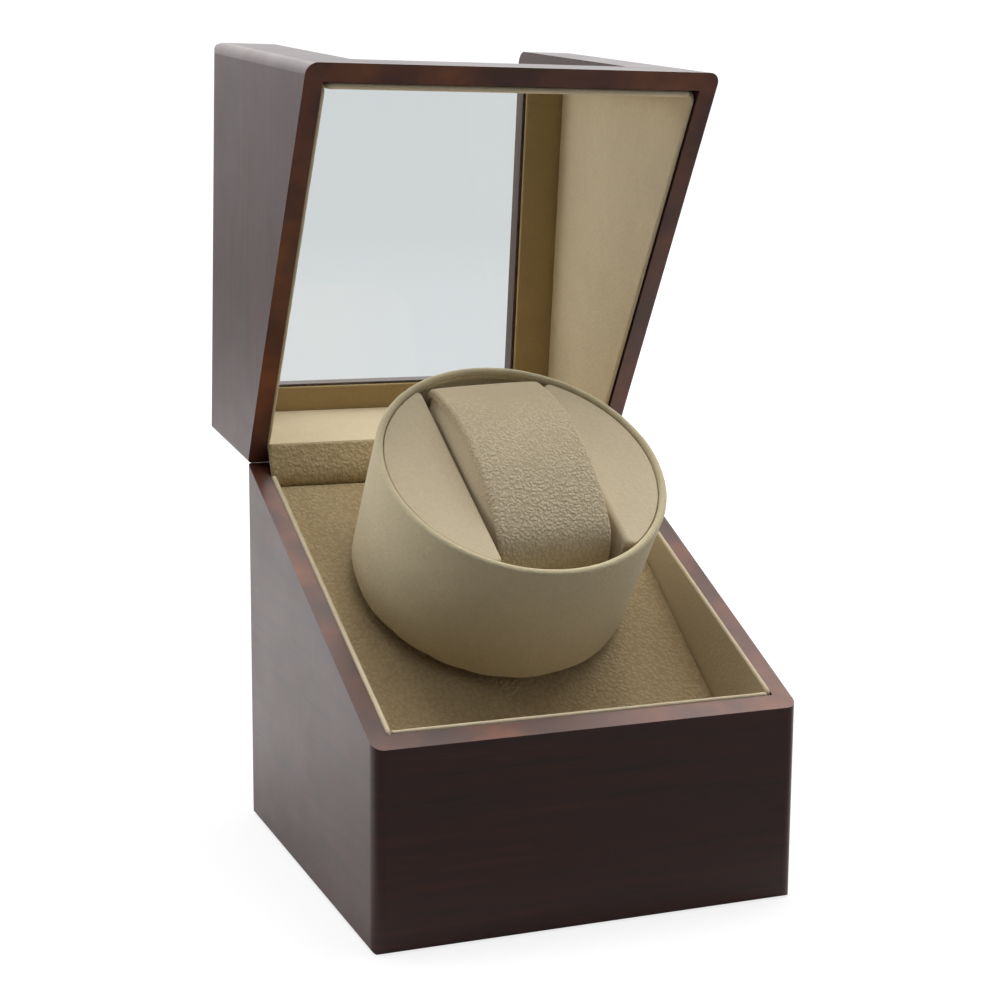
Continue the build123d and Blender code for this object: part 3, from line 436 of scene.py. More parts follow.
def wood(name, turn=0.0):
    """Dark mahogany stain under a satin lacquer. turn undoes the lid's opening angle."""
    m, nt, out = new_mat(name)
    g = Net(nt)
    tc = g.add("ShaderNodeTexCoord")
    rot = g.add("ShaderNodeVectorRotate", _rotation_type="X_AXIS", Angle=turn)
    nt.links.new(tc.outputs["Object"], rot.inputs["Vector"])
    pos = rot.outputs[0]
    nrot = g.add("ShaderNodeVectorRotate", _rotation_type="X_AXIS", Angle=turn)
    nt.links.new(tc.outputs["Normal"], nrot.inputs["Vector"])
    sep = g.add("ShaderNodeSeparateXYZ")
    nt.links.new(nrot.outputs[0], sep.inputs[0])
    nz = g.math("ABSOLUTE", sep.outputs[2])
    flat = g.maprange(nz, 0.6, 0.75)                       # faces that look up or down
    mA = g.add("ShaderNodeMapping", Scale=(5.0, 5.0, 95.0))
    nt.links.new(pos, mA.inputs["Vector"])
    mB = g.add("ShaderNodeMapping", Scale=(5.0, 95.0, 5.0))
    nt.links.new(pos, mB.inputs["Vector"])
    vm = g.add("ShaderNodeMix", _data_type="VECTOR")
    g.set(vm, "i0", flat)
    nt.links.new(mA.outputs[0], vm.inputs[4])
    nt.links.new(mB.outputs[0], vm.inputs[5])
    gv = vm.outputs[1]
    streak = g.noise(gv, 3.2, 5.0, 0.62, 0.0)
    pores = g.noise(gv, 22.0, 2.0, 0.6, 0.0)
    cloud = g.noise(pos, 17.0, 3.0, 0.5, 0.0)
    dark = (0.034, 0.0084, 0.0068, 1.0)
    red = (0.072, 0.0146, 0.0096, 1.0)
    col = g.mix(g.maprange(streak, 0.33, 0.72), dark, red)
    col = g.mix(g.math("MULTIPLY", g.maprange(cloud, 0.35, 0.7), 0.35), col, (0.024, 0.0070, 0.0056, 1.0))
    col = g.mix(g.math("MULTIPLY", g.maprange(pores, 0.56, 0.75), 0.35), col, (0.009, 0.0032, 0.003, 1.0))
    # the cut rims: sanded thinner, so the red of the wood shows through in patches
    dot = g.add("ShaderNodeVectorMath", _operation="DOT_PRODUCT")
    nt.links.new(nrot.outputs[0], dot.inputs[0])
    dot.inputs[1].default_value = (0.0, -0.4157, 0.9095)
    rimmask = g.maprange(g.math("ABSOLUTE", dot.outputs["Value"]), 0.985, 0.998)
    patch = g.noise(pos, 42.0, 3.0, 0.55, 0.0)
    rc = g.ramp(patch, [(0.30, (0.050, 0.018, 0.0125, 1)), (0.46, (0.095, 0.030, 0.0160, 1)),
                        (0.58, (0.155, 0.046, 0.019, 1)), (0.74, (0.230, 0.074, 0.026, 1))])
    col = g.mix(rimmask, col, rc)
    peel = g.noise(pos, 420.0, 2.0, 0.5, 0.0)
    h = g.math("ADD", g.math("MULTIPLY", streak, 0.6), g.math("MULTIPLY", peel, 0.25))
    rough = g.maprange(g.noise(pos, 55.0, 3.0, 0.5, 0.0), 0.3, 0.7, 0.285, 0.335)
    p = g.add("ShaderNodeBsdfPrincipled", Base__Color=col, Roughness=rough, IOR=1.5,
              Specular__IOR__Level=0.5)
    nt.links.new(g.bump(h, 0.00002), p.inputs["Normal"])
    nt.links.new(p.outputs[0], out.inputs[0])
    return m


def raw_wood(name, colour, scale=(6.0, 70.0, 70.0)):
    m, nt, out = new_mat(name)
    g = Net(nt)
    v = g.mapped(scale)
    s = g.noise(v, 4.0, 5.0, 0.6, 0.4)
    f = g.noise(g.mapped(), 900.0, 2.0, 0.5)
    col = g.mix(g.maprange(s, 0.3, 0.7), scaled(colour, 0.7), scaled(colour, 1.15))
    p = g.add("ShaderNodeBsdfPrincipled", Base__Color=col, Roughness=0.75, Specular__IOR__Level=0.3)
    nt.links.new(g.bump(g.math("ADD", s, g.math("MULTIPLY", f, 0.4)), 0.00006), p.inputs["Normal"])
    nt.links.new(p.outputs[0], out.inputs[0])
    return m


def acrylic(name):
    m, nt, out = new_mat(name)
    g = Net(nt)
    clear = g.add("ShaderNodeBsdfTransparent", Color=(0.938, 0.951, 0.953, 1.0))
    gloss = g.add("ShaderNodeBsdfGlossy", Color=(1, 1, 1, 1), Roughness=0.02)
    # the same gloss on the way in and on the way out, since the sheet bends no light
    lw = g.add("ShaderNodeLayerWeight", Blend=0.5)
    fr = g.maprange(g.math("POWER", lw.outputs["Facing"], 5.0), 0.0, 1.0, 0.039, 1.0)
    mx = g.add("ShaderNodeMixShader")
    nt.links.new(fr, mx.inputs[0])
    nt.links.new(clear.outputs[0], mx.inputs[1])
    nt.links.new(gloss.outputs[0], mx.inputs[2])
    nt.links.new(mx.outputs[0], out.inputs[0])
    return m


def metal(name, colour, rough=0.32, brushed=(8.0, 8.0, 8.0), var=0.08, depth=0.00001):
    m, nt, out = new_mat(name)
    g = Net(nt)
    v = g.mapped(brushed)
    n = g.noise(v, 160.0, 3.0, 0.6, 0.0)
    spots = g.noise(g.mapped(), 120.0, 3.0, 0.6, 0.3)
    col = g.mix(g.maprange(spots, 0.35, 0.7), scaled(colour, 0.86), scaled(colour, 1.04))
    r = g.maprange(n, 0.25, 0.75, rough - var, rough + var)
    p = g.add("ShaderNodeBsdfPrincipled", Base__Color=col, Roughness=r, Metallic=1.0)
    nt.links.new(g.bump(n, depth), p.inputs["Normal"])
    nt.links.new(p.outputs[0], out.inputs[0])
    return m


def plastic(name, colour, rough=0.45, grain=1800.0, depth=0.00002, spec=0.5):
    m, nt, out = new_mat(name)
    g = Net(nt)
    v = g.mapped()
    n = g.noise(v, grain, 2.0, 0.6, 0.0)
    s = g.noise(v, 90.0, 3.0, 0.55, 0.2)
    col = g.mix(g.maprange(s, 0.3, 0.7), scaled(colour, 0.85), scaled(colour, 1.12))
    r = g.maprange(s, 0.3, 0.7, rough - 0.05, rough + 0.06)
    p = g.add("ShaderNodeBsdfPrincipled", Base__Color=col, Roughness=r, Specular__IOR__Level=spec)
    nt.links.new(g.bump(n, depth), p.inputs["Normal"])
    nt.links.new(p.outputs[0], out.inputs[0])
    return m


def felt(name, colour):
    m, nt, out = new_mat(name)
    g = Net(nt)
    v = g.mapped()
    a = g.noise(v, 1400.0, 4.0, 0.7, 1.5)
    b = g.noise(v, 300.0, 3.0, 0.6, 0.5)
    col = g.mix(g.maprange(a, 0.3, 0.7), scaled(colour, 0.6), scaled(colour, 1.6))
    p = g.add("ShaderNodeBsdfPrincipled", Base__Color=col, Roughness=0.98,
              Specular__IOR__Level=0.1, Sheen__Weight=0.2, Sheen__Roughness=0.6)
    nt.links.new(g.bump(g.math("ADD", a, b), 0.00015), p.inputs["Normal"])
    nt.links.new(p.outputs[0], out.inputs[0])
    return m


TAN = rgb(209, 192, 158)
# painted light: the lid's linings are the same tan suede made lighter, to stand in for light that does not reach
# inside the lid
TAN_LIT_LID = rgb(219, 203, 172)
# painted shade: the lid's top lining is the same tan suede made darker, to stand in for the shade on that
# forward-facing panel
TAN_SHADED_TOP = rgb(166, 144, 103)
TAN_S = rgb(206, 191, 162)
TAN_C = rgb(206, 193, 160)
TAN_D = rgb(190, 170, 133)
m_wood = wood("lacquered_wood")
m_wood_lid = wood("lacquered_wood_lid", OPEN)
m_raw = raw_wood("plain_wood", (0.36, 0.24, 0.14, 1.0))
m_mdf = raw_wood("fibreboard", (0.30, 0.21, 0.13, 1.0), (40.0, 40.0, 40.0))
m_smooth = suede("suede_smooth", TAN_S, nap=0.04, pitch=0.0011, depth=0.00005, fibre=0.6, sheen=0.2,
                 shade=0.10, lines=((2.2, 14.0, 14.0), 0.8))
# painted light: a lighter copy of the lining suede for the lid's side, rear and front linings
m_lidlin_lit = suede("suede_lid", TAN_LIT_LID, nap=0.05, pitch=0.0012, depth=0.00005, fibre=0.6, sheen=0.2, shade=0.10)
# painted shade: a darker copy of the lining suede for the lid's top lining
m_lidtop_shaded = suede("suede_lid_top_painted_shade", TAN_SHADED_TOP, nap=0.05, pitch=0.0012, depth=0.00005, fibre=0.6, sheen=0.1, shade=0.10)
m_cupskin = suede("suede_cup", TAN_C, nap=0.05, pitch=0.0011, depth=0.00006, fibre=0.6, sheen=0.22, shade=0.12)
m_coarse = suede("suede_coarse", TAN_D, nap=0.08, pitch=0.0013, depth=0.00030, fibre=0.15, sheen=0.18,
                 shade=0.34)
m_band = suede("suede_band", TAN_S, nap=0.05, pitch=0.00094, depth=0.00032, fibre=0.15, sheen=0.18,
               shade=0.42, fade=((0.0, 0.814116, 0.580703), 0.062, 0.092, 0.14))
m_pane = acrylic("clear_acrylic")
m_brass = metal("hinge_brass", (0.64, 0.46, 0.20, 1.0), 0.30)
m_steel = metal("plated_steel", (0.62, 0.62, 0.61, 1.0), 0.34)
m_bright = metal("turned_steel", (0.70, 0.70, 0.70, 1.0), 0.20)
m_cast = metal("cast_zinc", (0.42, 0.42, 0.41, 1.0), 0.48, depth=0.00003)
m_bronze = metal("sintered_bronze", (0.50, 0.30, 0.14, 1.0), 0.45, depth=0.00003)
m_nylon = plastic("natural_nylon", (0.74, 0.72, 0.64, 1.0), 0.50)
m_black = plastic("black_plastic", (0.014, 0.014, 0.015, 1.0), 0.42)
m_knob = plastic("knob_plastic", (0.020, 0.020, 0.021, 1.0), 0.36, 2600.0)
m_rocker = plastic("rocker_plastic", (0.018, 0.018, 0.019, 1.0), 0.28, 3200.0, 0.00001)
m_pcb = plastic("circuit_board", (0.018, 0.110, 0.040, 1.0), 0.35, 500.0, 0.00002)
m_chip = plastic("component_body", (0.020, 0.020, 0.024, 1.0), 0.50)
m_wire = plastic("wire_sheath", (0.30, 0.020, 0.016, 1.0), 0.38)
m_foam = felt("cut_foam", (0.52, 0.50, 0.44, 1.0))
m_felt = felt("black_felt", (0.012, 0.012, 0.013, 1.0))
m_mark = plastic("white_marks", (0.62, 0.62, 0.60, 1.0), 0.6)


def assign(mat, *names):
    for n in names:
        me = nodes[n].data
        me.materials.clear()
        me.materials.append(mat)


assign(m_wood, "base_case")
assign(m_wood_lid, "lid_case")
assign(m_mdf, "bottom_panel", "cup_base")
assign(m_raw, "wood_battens")
assign(m_pane, "window_pane")
assign(m_brass, "hinge_leaves_base", "hinge_leaves_lid", "hinge_pins", "hinge_screws_base",
       "hinge_screws_lid")
assign(m_steel, "drive_plate", "plate_screws", "motor_screws", "hub_screws", "bottom_screws",
       "jack_nut", "spindle_retainers", "motor_can")
assign(m_bright, "spindle", "output_shaft", "plate_spacers")
assign(m_cast, "motor_gearbox")
assign(m_bronze, "upper_bush", "lower_bush")
assign(m_nylon, "cup_gear", "drive_pinion", "cup_hub", "board_standoffs")
assign(m_black, "rear_plate", "rocker_housing", "dc_jack", "mode_switch", "rear_plate_screws")
assign(m_rocker, "rocker")
assign(m_knob, "mode_knob", "mode_shaft")
assign(m_pcb, "control_board")
assign(m_chip, "board_components")
assign(m_wire, "wiring")

# -------------------------------------------------------------- tray linings
LX1 = IX - 0.1
LX0 = LX1 - LINER
LYR = 55.7
FT = 0.5                                 # the flap
LYL = 56.85                              # rear end of the lid's side linings
RL1 = IY - 0.1                           # back of the rear lining
PROUD = 0.8


def side_x(sign):
    """Outline in (y, z), thickness across x; the visible face looks inwards."""
    return lambda v: np.column_stack([v[:, 2] * sign, v[:, 0], v[:, 1]])


for nm, sg, sd, ff in (("left", -1.0, 2.0, 0.1), ("right", 1.0, 5.0, 0.95)):
    # the right one stops short of the corner, and a dark gap shows there
    side = [(-IY + ff, floor_z(-IY + ff) - 3.68), (LYR, floor_z(LYR) - 3.68),
            (LYR, rim(LYR) + PROUD), (-IY + ff, rim(-IY + ff) + PROUD)]
    tray_side = round_poly(side, [0.4, 0.4, 1.0, 1.8])
    board("tray_lining_" + nm, tray_side, LX1, LX0, side_x(sg), at_base, "base",
          ("tray_liner_" + nm,), m_smooth, 0.66, 0.66, step=1.6, wave=0.10, seed=sd)
ty0, ty1 = -IY + 0.1, -IY + 0.1 + LINER
front = round_poly([(-LX0 + 0.05, 20.0), (LX0 - 0.05, 20.0), (LX0 - 0.05, rim(ty0 + 0.6) + 0.5),
                    (-LX0 + 0.05, rim(ty0 + 0.6) + 0.5)], [0.4, 0.4, 0.9, 0.5])
board("tray_lining_front", front, ty0, ty1,
      lambda v: np.column_stack([v[:, 0], v[:, 2], v[:, 1]]), at_base, "base",
      ("tray_liner_front",), m_smooth, 0.66, 0.66, step=1.6, wave=0.10, seed=8.0)

# the sloped floor, drawn in (x, distance up the slope)
fa, fb = ty1 + 0.1, 56.4
ua = (fa - P0Y) / math.cos(TILT)
ub = (fb - 0.9 - P0Y) / math.cos(TILT)
fl = round_poly([(-LX0 + 0.05, ua), (LX0 - 0.05, ua), (LX0 - 0.05, ub), (-LX0 + 0.05, ub)], 0.5)
hub_hole = [(8.0 * math.cos(t), 8.0 * math.sin(t)) for t in np.linspace(0, 2 * math.pi, 49)[:-1]]
board("tray_floor_cloth", fl, -2.9, 0.0, lambda v: v, at_drive, "base", ("tray_floor",), m_coarse,
      0.6, 0.3, holes=(hub_hole,), step=2.5)

# ----------------------------------------------------------------- lid linings
REC = 1.35
pane_z0 = WIN_Z - 3.5
z1 = H - T - 0.1
TOP_LZ = z1 - 2.0 - 0.1
LB = TOP_LZ - LINER
lid_side = round_poly([(-IY + 0.2, rim(-IY + 0.2) + REC), (LYL, rim(LYL) + REC), (LYL, LB - 0.1),
                       (-IY + 0.2, LB - 0.1)], [2.6, 1.2, 0.5, 0.5])
for nm, sg, sd in (("left", -1.0, 12.0), ("right", 1.0, 15.0)):
    board("lid_lining_" + nm, lid_side, LX1, LX0, side_x(sg), at_lid, "lid",
          ("lid_liner_" + nm,), m_lidlin_lit, 0.66, 0.66, step=1.6, wave=0.16, seed=sd)
y_t0 = -IY + 0.1 + 3.2 + 0.3
a = WIN_X + 0.1
top_u = round_poly([(-LX1, y_t0), (-a, y_t0), (-a, WIN_Y + 0.3), (a, WIN_Y + 0.3), (a, y_t0), (LX1, y_t0),
                    (LX1, IY - 0.1), (-LX1, IY - 0.1)], [0.4, 0.4, WIN_R, WIN_R, 0.4, 0.4, 0.4, 0.4])
board("lid_lining_top", top_u, TOP_LZ, LB, lambda v: v, at_lid, "lid", ("lid_liner_top",),
      m_lidtop_shaded, 0.6, 0.4, step=2.0, wave=0.06, seed=21.0)
rear = round_poly([(-LX1, 112.0), (LX1, 112.0), (LX1, LB - 0.05), (-LX1, LB - 0.05)], [1.0, 1.0, 0.2, 0.2])
board("lid_lining_rear", rear, RL1, LYL + 0.05,
      lambda v: np.column_stack([v[:, 0], v[:, 2], v[:, 1]]), at_lid, "lid", ("lid_liner_rear",),
      m_lidlin_lit, 0.38, 0.2, step=2.0, wave=0.08, seed=24.0)
fs0 = -IY + 0.1
fs1 = fs0 + FRONT_T
PX = WIN_X + 3.5 + 0.12
zb_ = rim(fs0 + 0.95) + REC
frame_u = round_poly([(-LX0 + 0.1, zb_), (LX0 - 0.1, zb_), (LX0 - 0.1, LB - 0.1), (PX, LB - 0.1),
                      (PX, pane_z0 - 0.12), (-PX, pane_z0 - 0.12), (-PX, LB - 0.1),
                      (-LX0 + 0.1, LB - 0.1)], [2.4, 2.4, 0.3, 0.3, 0.3, 0.3, 0.3, 0.3])
board("lid_lining_front", frame_u, fs0, fs1,
      lambda v: np.column_stack([v[:, 0], v[:, 2], v[:, 1]]), at_lid, "lid",
      ("lid_liner_front",), m_lidlin_lit, 0.94, 0.94, step=1.6, wave=0.10,
      seed=27.0)

# ------------------------------------------------- flap of cloth over the hinge
def open_yz(y, z):
    dy, dz = y - YB, z - ZR
    return (YB + dy * math.cos(OPEN) + dz * math.sin(OPEN),
            ZR - dy * math.sin(OPEN) + dz * math.cos(OPEN))


def catmull(pts, per):
    out = []
    p = [np.array(q, float) for q in pts]
    p = [2 * p[0] - p[1]] + p + [2 * p[-1] - p[-2]]
    for i in range(1, len(p) - 2):
        for k in range(per):
            t = k / per
            out.append(0.5 * ((2 * p[i]) + (p[i + 1] - p[i - 1]) * t +
                              (2 * p[i - 1] - 5 * p[i] + 4 * p[i + 1] - p[i + 2]) * t * t +
                              (3 * p[i] - p[i - 1] - 3 * p[i + 1] + p[i + 2]) * t ** 3))
    out.append(p[-2])
    return np.array(out)


yf = IY - 0.1 - FT / 2
yl = IY + 0.6 - 0.05 - FT / 2            # in the lid's rebate
fl_line = catmull([(yf, 104.7), (yf - 0.15, 106.0), (yf - 1.35, 107.6), (yf - 1.5, 109.4),
                   (yf - 0.8, 112.0), (yf + 0.6, 114.9), (yf + 1.9, 117.3), open_yz(57.35, 110.6),
                   open_yz(57.3, 111.3), open_yz(yl - 0.02, 112.05), open_yz(yl, 112.9),
                   open_yz(yl, 113.9)], 6)
seg_len = np.linalg.norm(np.diff(fl_line, axis=0), axis=1)
flap_len = float(seg_len.sum())
nx = 90
xs = np.linspace(-LX1 + 0.05, LX1 - 0.05, nx)
s_cum = np.concatenate([[0], np.cumsum(seg_len)]) / flap_len
tang = np.gradient(fl_line, axis=0)
tang /= np.linalg.norm(tang, axis=1, keepdims=True)
nor = np.column_stack([-tang[:, 1], tang[:, 0]])
verts, faces = [], []
for sgn in (1.0, -1.0):
    for i, (q, n_) in enumerate(zip(fl_line, nor)):
        for x in xs:
            free = math.sin(math.pi * min(1.0, max(0.0, (s_cum[i] - 0.15) / 0.7)))
            w = 0.45 * noise.noise(Vector((x / 16.0, s_cum[i] * 1.4, 4.2)))
            w += 0.16 * noise.noise(Vector((x / 5.0, s_cum[i] * 3.0, 9.0)))
            off = sgn * FT / 2 + w * free
            verts.append((x, q[0] + n_[0] * off, q[1] + n_[1] * off))
nr = len(fl_line)


def vid(side_, i, j):
    return side_ * nr * nx + i * nx + j


for i in range(nr - 1):
    for j in range(nx - 1):
        faces.append((vid(0, i, j), vid(0, i, j + 1), vid(0, i + 1, j + 1), vid(0, i + 1, j)))
        faces.append((vid(1, i, j), vid(1, i + 1, j), vid(1, i + 1, j + 1), vid(1, i, j + 1)))
for j in range(nx - 1):
    faces.append((vid(0, 0, j), vid(1, 0, j), vid(1, 0, j + 1), vid(0, 0, j + 1)))
    faces.append((vid(0, nr - 1, j), vid(0, nr - 1, j + 1), vid(1, nr - 1, j + 1), vid(1, nr - 1, j)))
for i in range(nr - 1):
    faces.append((vid(0, i, 0), vid(0, i + 1, 0), vid(1, i + 1, 0), vid(1, i, 0)))
    faces.append((vid(0, i, nx - 1), vid(1, i, nx - 1), vid(1, i + 1, nx - 1), vid(0, i + 1, nx - 1)))
flap = make("hinge_flap_cloth", at_base(verts), faces, None, (), m_coarse)
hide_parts("hinge_flap")
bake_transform(flap)

# ------------------------------------------------------------------- felt base
fx, fy = IX - 2.5, IY - 2.5
ccx, ccy = IX - 0.1 - 6.5 + 1.5, IY - 0.1 - 6.5 + 1.5


def corner_notch(sx, sy):
    """Where the sheet is cut round a bottom screw."""
    dx = math.sqrt(16.0 - (fy - ccy) ** 2)
    dy = math.sqrt(16.0 - (fx - ccx) ** 2)
    t0 = math.atan2(-dy, fx - ccx)
    t1 = math.atan2(fy - ccy, -dx) - 2 * math.pi
    ts = np.linspace(t0, t1, 15)
    return [(sx * (ccx + 4.0 * math.cos(t)), sy * (ccy + 4.0 * math.sin(t))) for t in ts]


outline = corner_notch(1, 1) + corner_notch(-1, 1)[::-1] + corner_notch(-1, -1) + corner_notch(1, -1)[::-1]
fb_ = board("felt_sheet", outline, 0.4 - 0.02, -FOOT, lambda v: v, at_base, "base", ("felt_base",), m_felt,
            0.35, 0.1, step=1.4)

# -------------------------------------------------------------------- the cup
rt = 1.2                                 # the padded bead round the rim
zc = CUP_TOP - rt


def cup_profile():
    """(radius, height), from the inner foot round the outside to the inner foot."""
    pts = [(CUP_R0 - CUP_WALL, CUP_BOT + 0.6), (CUP_R0 - CUP_WALL, CUP_BOT + 0.02)]
    pts += [(CUP_R0 - CUP_WALL + k, CUP_BOT) for k in (0.4, 0.9, 1.4)]
    rb = 1.3
    for k in range(1, 9):
        t = math.pi / 2 * k / 8
        pts.append((CUP_R0 - rb + rb * math.sin(t), CUP_BOT + rb * (1 - math.cos(t))))
    for k in range(1, 26):
        f = k / 26.0
        z = CUP_BOT + rb + (zc - CUP_BOT - rb) * f
        pts.append((CUP_R0 + (CUP_R1 - CUP_R0) * (z - CUP_BOT) / (zc - CUP_BOT), z))
    for k in range(0, 20):
        t = math.pi * 1.38 * k / 19
        pts.append((CUP_R1 - rt + rt * math.cos(t), zc + rt * math.sin(t)))
    # a groove under the bead, then the turned edge of the inner cloth
    zi = zc - 1.85
    for k in range(0, 7):
        t = math.radians(95 + 130 * k / 6)
        pts.append((CUP_R1 - 1.5 + 0.55 * math.cos(t), zi + 0.55 * math.sin(t)))
    zi -= 0.6
    pts.append((CUP_R1 - 1.66, zi))
    for k in range(1, 20):
        f = k / 19.0
        r = CUP_R1 - 1.66 + (CUP_R0 - CUP_R1) * f
        if f > 0.97:
            r = CUP_R0 - CUP_WALL + 0.1
        pts.append((r, zi + (CUP_BOT + 0.9 - zi) * f))
    return pts


NA = 300
prof = cup_profile()
verts, faces = [], []
for i in range(NA):
    t = 2 * math.pi * i / NA
    c, s = math.cos(t), math.sin(t)
    for r, z in prof:
        # folded cloth at the foot: shallow flats between the pleats
        f = math.exp(-((z - CUP_BOT) / 2.2) ** 2) if r > CUP_R0 - 2.0 else 0.0
        k = 17
        ph = (t * k / (2 * math.pi) + 0.35 * math.sin(3 * t)) % 1.0
        r2 = r - f * (0.34 * (1 - abs(2 * ph - 1)) ** 1.5)
        z2 = z + f * 0.10 * math.sin(5 * t + 1.0)
        if z > zc - 0.5:
            lift = noise.noise(Vector((c * 4.5, s * 4.5, 2.0)))
            fine_ = noise.noise(Vector((c * 17.0, s * 17.0, 5.0)))
            kk = min(1.0, (z - zc + 0.5) / 1.0)
            z2 += kk * (0.13 * lift + 0.05 * fine_)
            r2 += kk * 0.05 * fine_
        elif r > CUP_R0 - 1.0:
            r2 += 0.10 * noise.noise(Vector((c * 2.2, s * 2.2, z / 22.0)))
        verts.append((r2 * c, r2 * s, z2))
npf = len(prof)
for i in range(NA):
    j = (i + 1) % NA
    for k in range(npf):
        l = (k + 1) % npf
        faces.append((i * npf + k, i * npf + l, j * npf + l, j * npf + k))
make("cup_cloth", at_drive(verts), faces, "cup", ("cup_shell",), m_cupskin)

PT1 = CUP_TOP - 0.9
PT0 = PT1 - 2.2
PR = CUP_R1 - CUP_WALL - 0.12


def half_disc(r, x0, rc, seg=72):
    """Counterclockwise outline of the disc right of x = x0, with its two corners rounded."""
    yc = math.sqrt((r - rc) ** 2 - (x0 + rc) ** 2)
    ta = math.atan2(yc, x0 + rc)
    pts = [(r * math.cos(t), r * math.sin(t)) for t in np.linspace(-ta, ta, seg)]
    for t in np.linspace(ta, math.pi, 10)[1:]:
        pts.append((x0 + rc + rc * math.cos(t), yc + rc * math.sin(t)))
    for t in np.linspace(-math.pi, -ta, 10)[:-1]:
        pts.append((x0 + rc + rc * math.cos(t), -yc + rc * math.sin(t)))
    return pts


def platform(name, sign, r_edge, node, seed):
    def share(a, b):
        # full roll along the slot, a small one against the bead
        k = min(1.0, max(0.0, (a - SLOT - 0.6) / 2.4))
        k = k * k * (3 - 2 * k)
        return 1.0 + (0.45 / r_edge - 1.0) * k

    board(name, half_disc(PR, SLOT, r_edge + 0.5), PT0, PT1,
          lambda v: np.column_stack([v[:, 0] * sign, v[:, 1], v[:, 2]]),
          at_cup, "cup", (node,), m_smooth, r_edge, 0.2, step=1.3, wave=0.05,
          seed=seed, arc=8, top_of=share)


platform("platform_cloth_left", -1.0, 0.75, "platform_left", 31.0)
platform("platform_cloth_right", 1.0, 1.7, "platform_right", 34.0)
for nm, sg in (("left", -1.0), ("right", 1.0)):
    o = round_poly([(-33.2, CUP_BOT + 4.02), (33.2, CUP_BOT + 4.02), (33.2, PT0 - 0.02),
                    (-33.2, PT0 - 0.02)], 0.3)
    board("slot_cloth_" + nm, o, SLOT + 1.8, SLOT,
          (lambda sg_: lambda v: np.column_stack([v[:, 2] * sg_, v[:, 0], v[:, 1]]))(sg),
          at_cup, "cup", ("slot_wall_" + nm,), m_smooth, 0.3, 0.2, step=2.5)
o = round_poly([(-SLOT + 0.05, -34.0), (SLOT - 0.05, -34.0), (SLOT - 0.05, 34.0), (-SLOT + 0.05, 34.0)], 0.5)
board("slot_floor_cloth", o, 12.4, 13.8, lambda v: v, at_cup, "cup", ("slot_floor",), m_smooth,
      0.4, 0.2, step=2.5)

# ------------------------------------------------------------------- the cuff
CUFF_X, CUFF_TOP, CUFF_BOT, CUFF_ARCH, CUFF_UM = 17.5, 57.08, 14.1, 64.0, 5.35
CUFF_U1, CUFF_U2, CUFF_R1, CUFF_R2, CUFF_R3 = 35.6, 31.5, 6.2, 13.0, 14.0


def cuff_outline(inset, n=26):
    """Closed outline in (up the slope, height), counterclockwise, pulled in by inset: one
    arc for the crown, a tight shoulder at the upper end and an easy one at the lower end."""
    zc0 = CUFF_TOP - CUFF_ARCH

    def shoulder(sgn, reach, r):
        cu = sgn * (reach - r)
        cz = zc0 + math.sqrt((CUFF_ARCH - r) ** 2 - (cu - CUFF_UM) ** 2)
        return cu, cz, math.atan2(cz - zc0, cu - CUFF_UM)

    c1, z1_, p1 = shoulder(1, CUFF_U1, CUFF_R1)
    c2, z2_, p2 = shoulder(-1, CUFF_U2, CUFF_R2)
    arch, r1, r2, r3 = CUFF_ARCH - inset, CUFF_R1 - inset, CUFF_R2 - inset, CUFF_R3 - inset
    zl = CUFF_BOT + CUFF_R3
    b1, b2 = CUFF_U1 - CUFF_R3, -(CUFF_U2 - CUFF_R3)
    pts = []
    for t in np.linspace(-math.pi / 2, 0, n + 1):                 # lower corner, upper end
        pts.append((b1 + r3 * math.cos(t), zl + r3 * math.sin(t)))
    for f in np.linspace(0, 1, 9)[1:-1]:
        pts.append((CUFF_U1 - inset, zl + (z1_ - zl) * f))
    for t in np.linspace(0, p1, n + 1):                           # shoulder, upper end
        pts.append((c1 + r1 * math.cos(t), z1_ + r1 * math.sin(t)))
    for t in np.linspace(p1, p2, 2 * n + 1)[1:-1]:                # crown
        pts.append((CUFF_UM + arch * math.cos(t), zc0 + arch * math.sin(t)))
    for t in np.linspace(p2, math.pi, n + 1):                     # shoulder, lower end
        pts.append((c2 + r2 * math.cos(t), z2_ + r2 * math.sin(t)))
    for f in np.linspace(0, 1, 9)[1:-1]:
        pts.append((-CUFF_U2 + inset, z2_ + (zl - z2_) * f))
    for t in np.linspace(math.pi, 1.5 * math.pi, n + 1):          # lower corner, lower end
        pts.append((b2 + r3 * math.cos(t), zl + r3 * math.sin(t)))
    for f in np.linspace(0, 1, 13)[1:-1]:
        pts.append((b2 + (b1 - b2) * f, CUFF_BOT + inset))
    return np.array(pts)


def loft_round(name, section, body, replaces, mat, slot, closed=True, wob=None):
    """Sweeps a cross-section of (inset, x) round the cuff's outline."""
    rings = [cuff_outline(max(0.0, ins)) for ins, _ in section]
    n = len(rings[0])
    verts, faces = [], []
    for (ins, x), ring in zip(section, rings):
        extra = min(0.0, ins)
        for (u, z) in ring:
            verts.append([x, u, z])
    verts = np.array(verts)
    # negative insets stand proud: push out along the outline's normal
    for k, (ins, x) in enumerate(section):
        if ins < 0:
            d = inset_dirs(rings[k])
            verts[k * n:(k + 1) * n, 1:] += d * ins
    m_ = len(section)
    last = m_ if closed else m_ - 1
    for k in range(last):
        l = (k + 1) % m_
        for i in range(n):
            j = (i + 1) % n
            faces.append((k * n + i, k * n + j, l * n + j, l * n + i))
    if wob:
        verts = wob(verts)
    return verts, faces, n


def arc_pts(ci, cx, r, t0, t1, n):
    return [(ci + r * math.cos(math.radians(t0 + (t1 - t0) * k / n)),
             cx + r * math.sin(math.radians(t0 + (t1 - t0) * k / n))) for k in range(n + 1)]


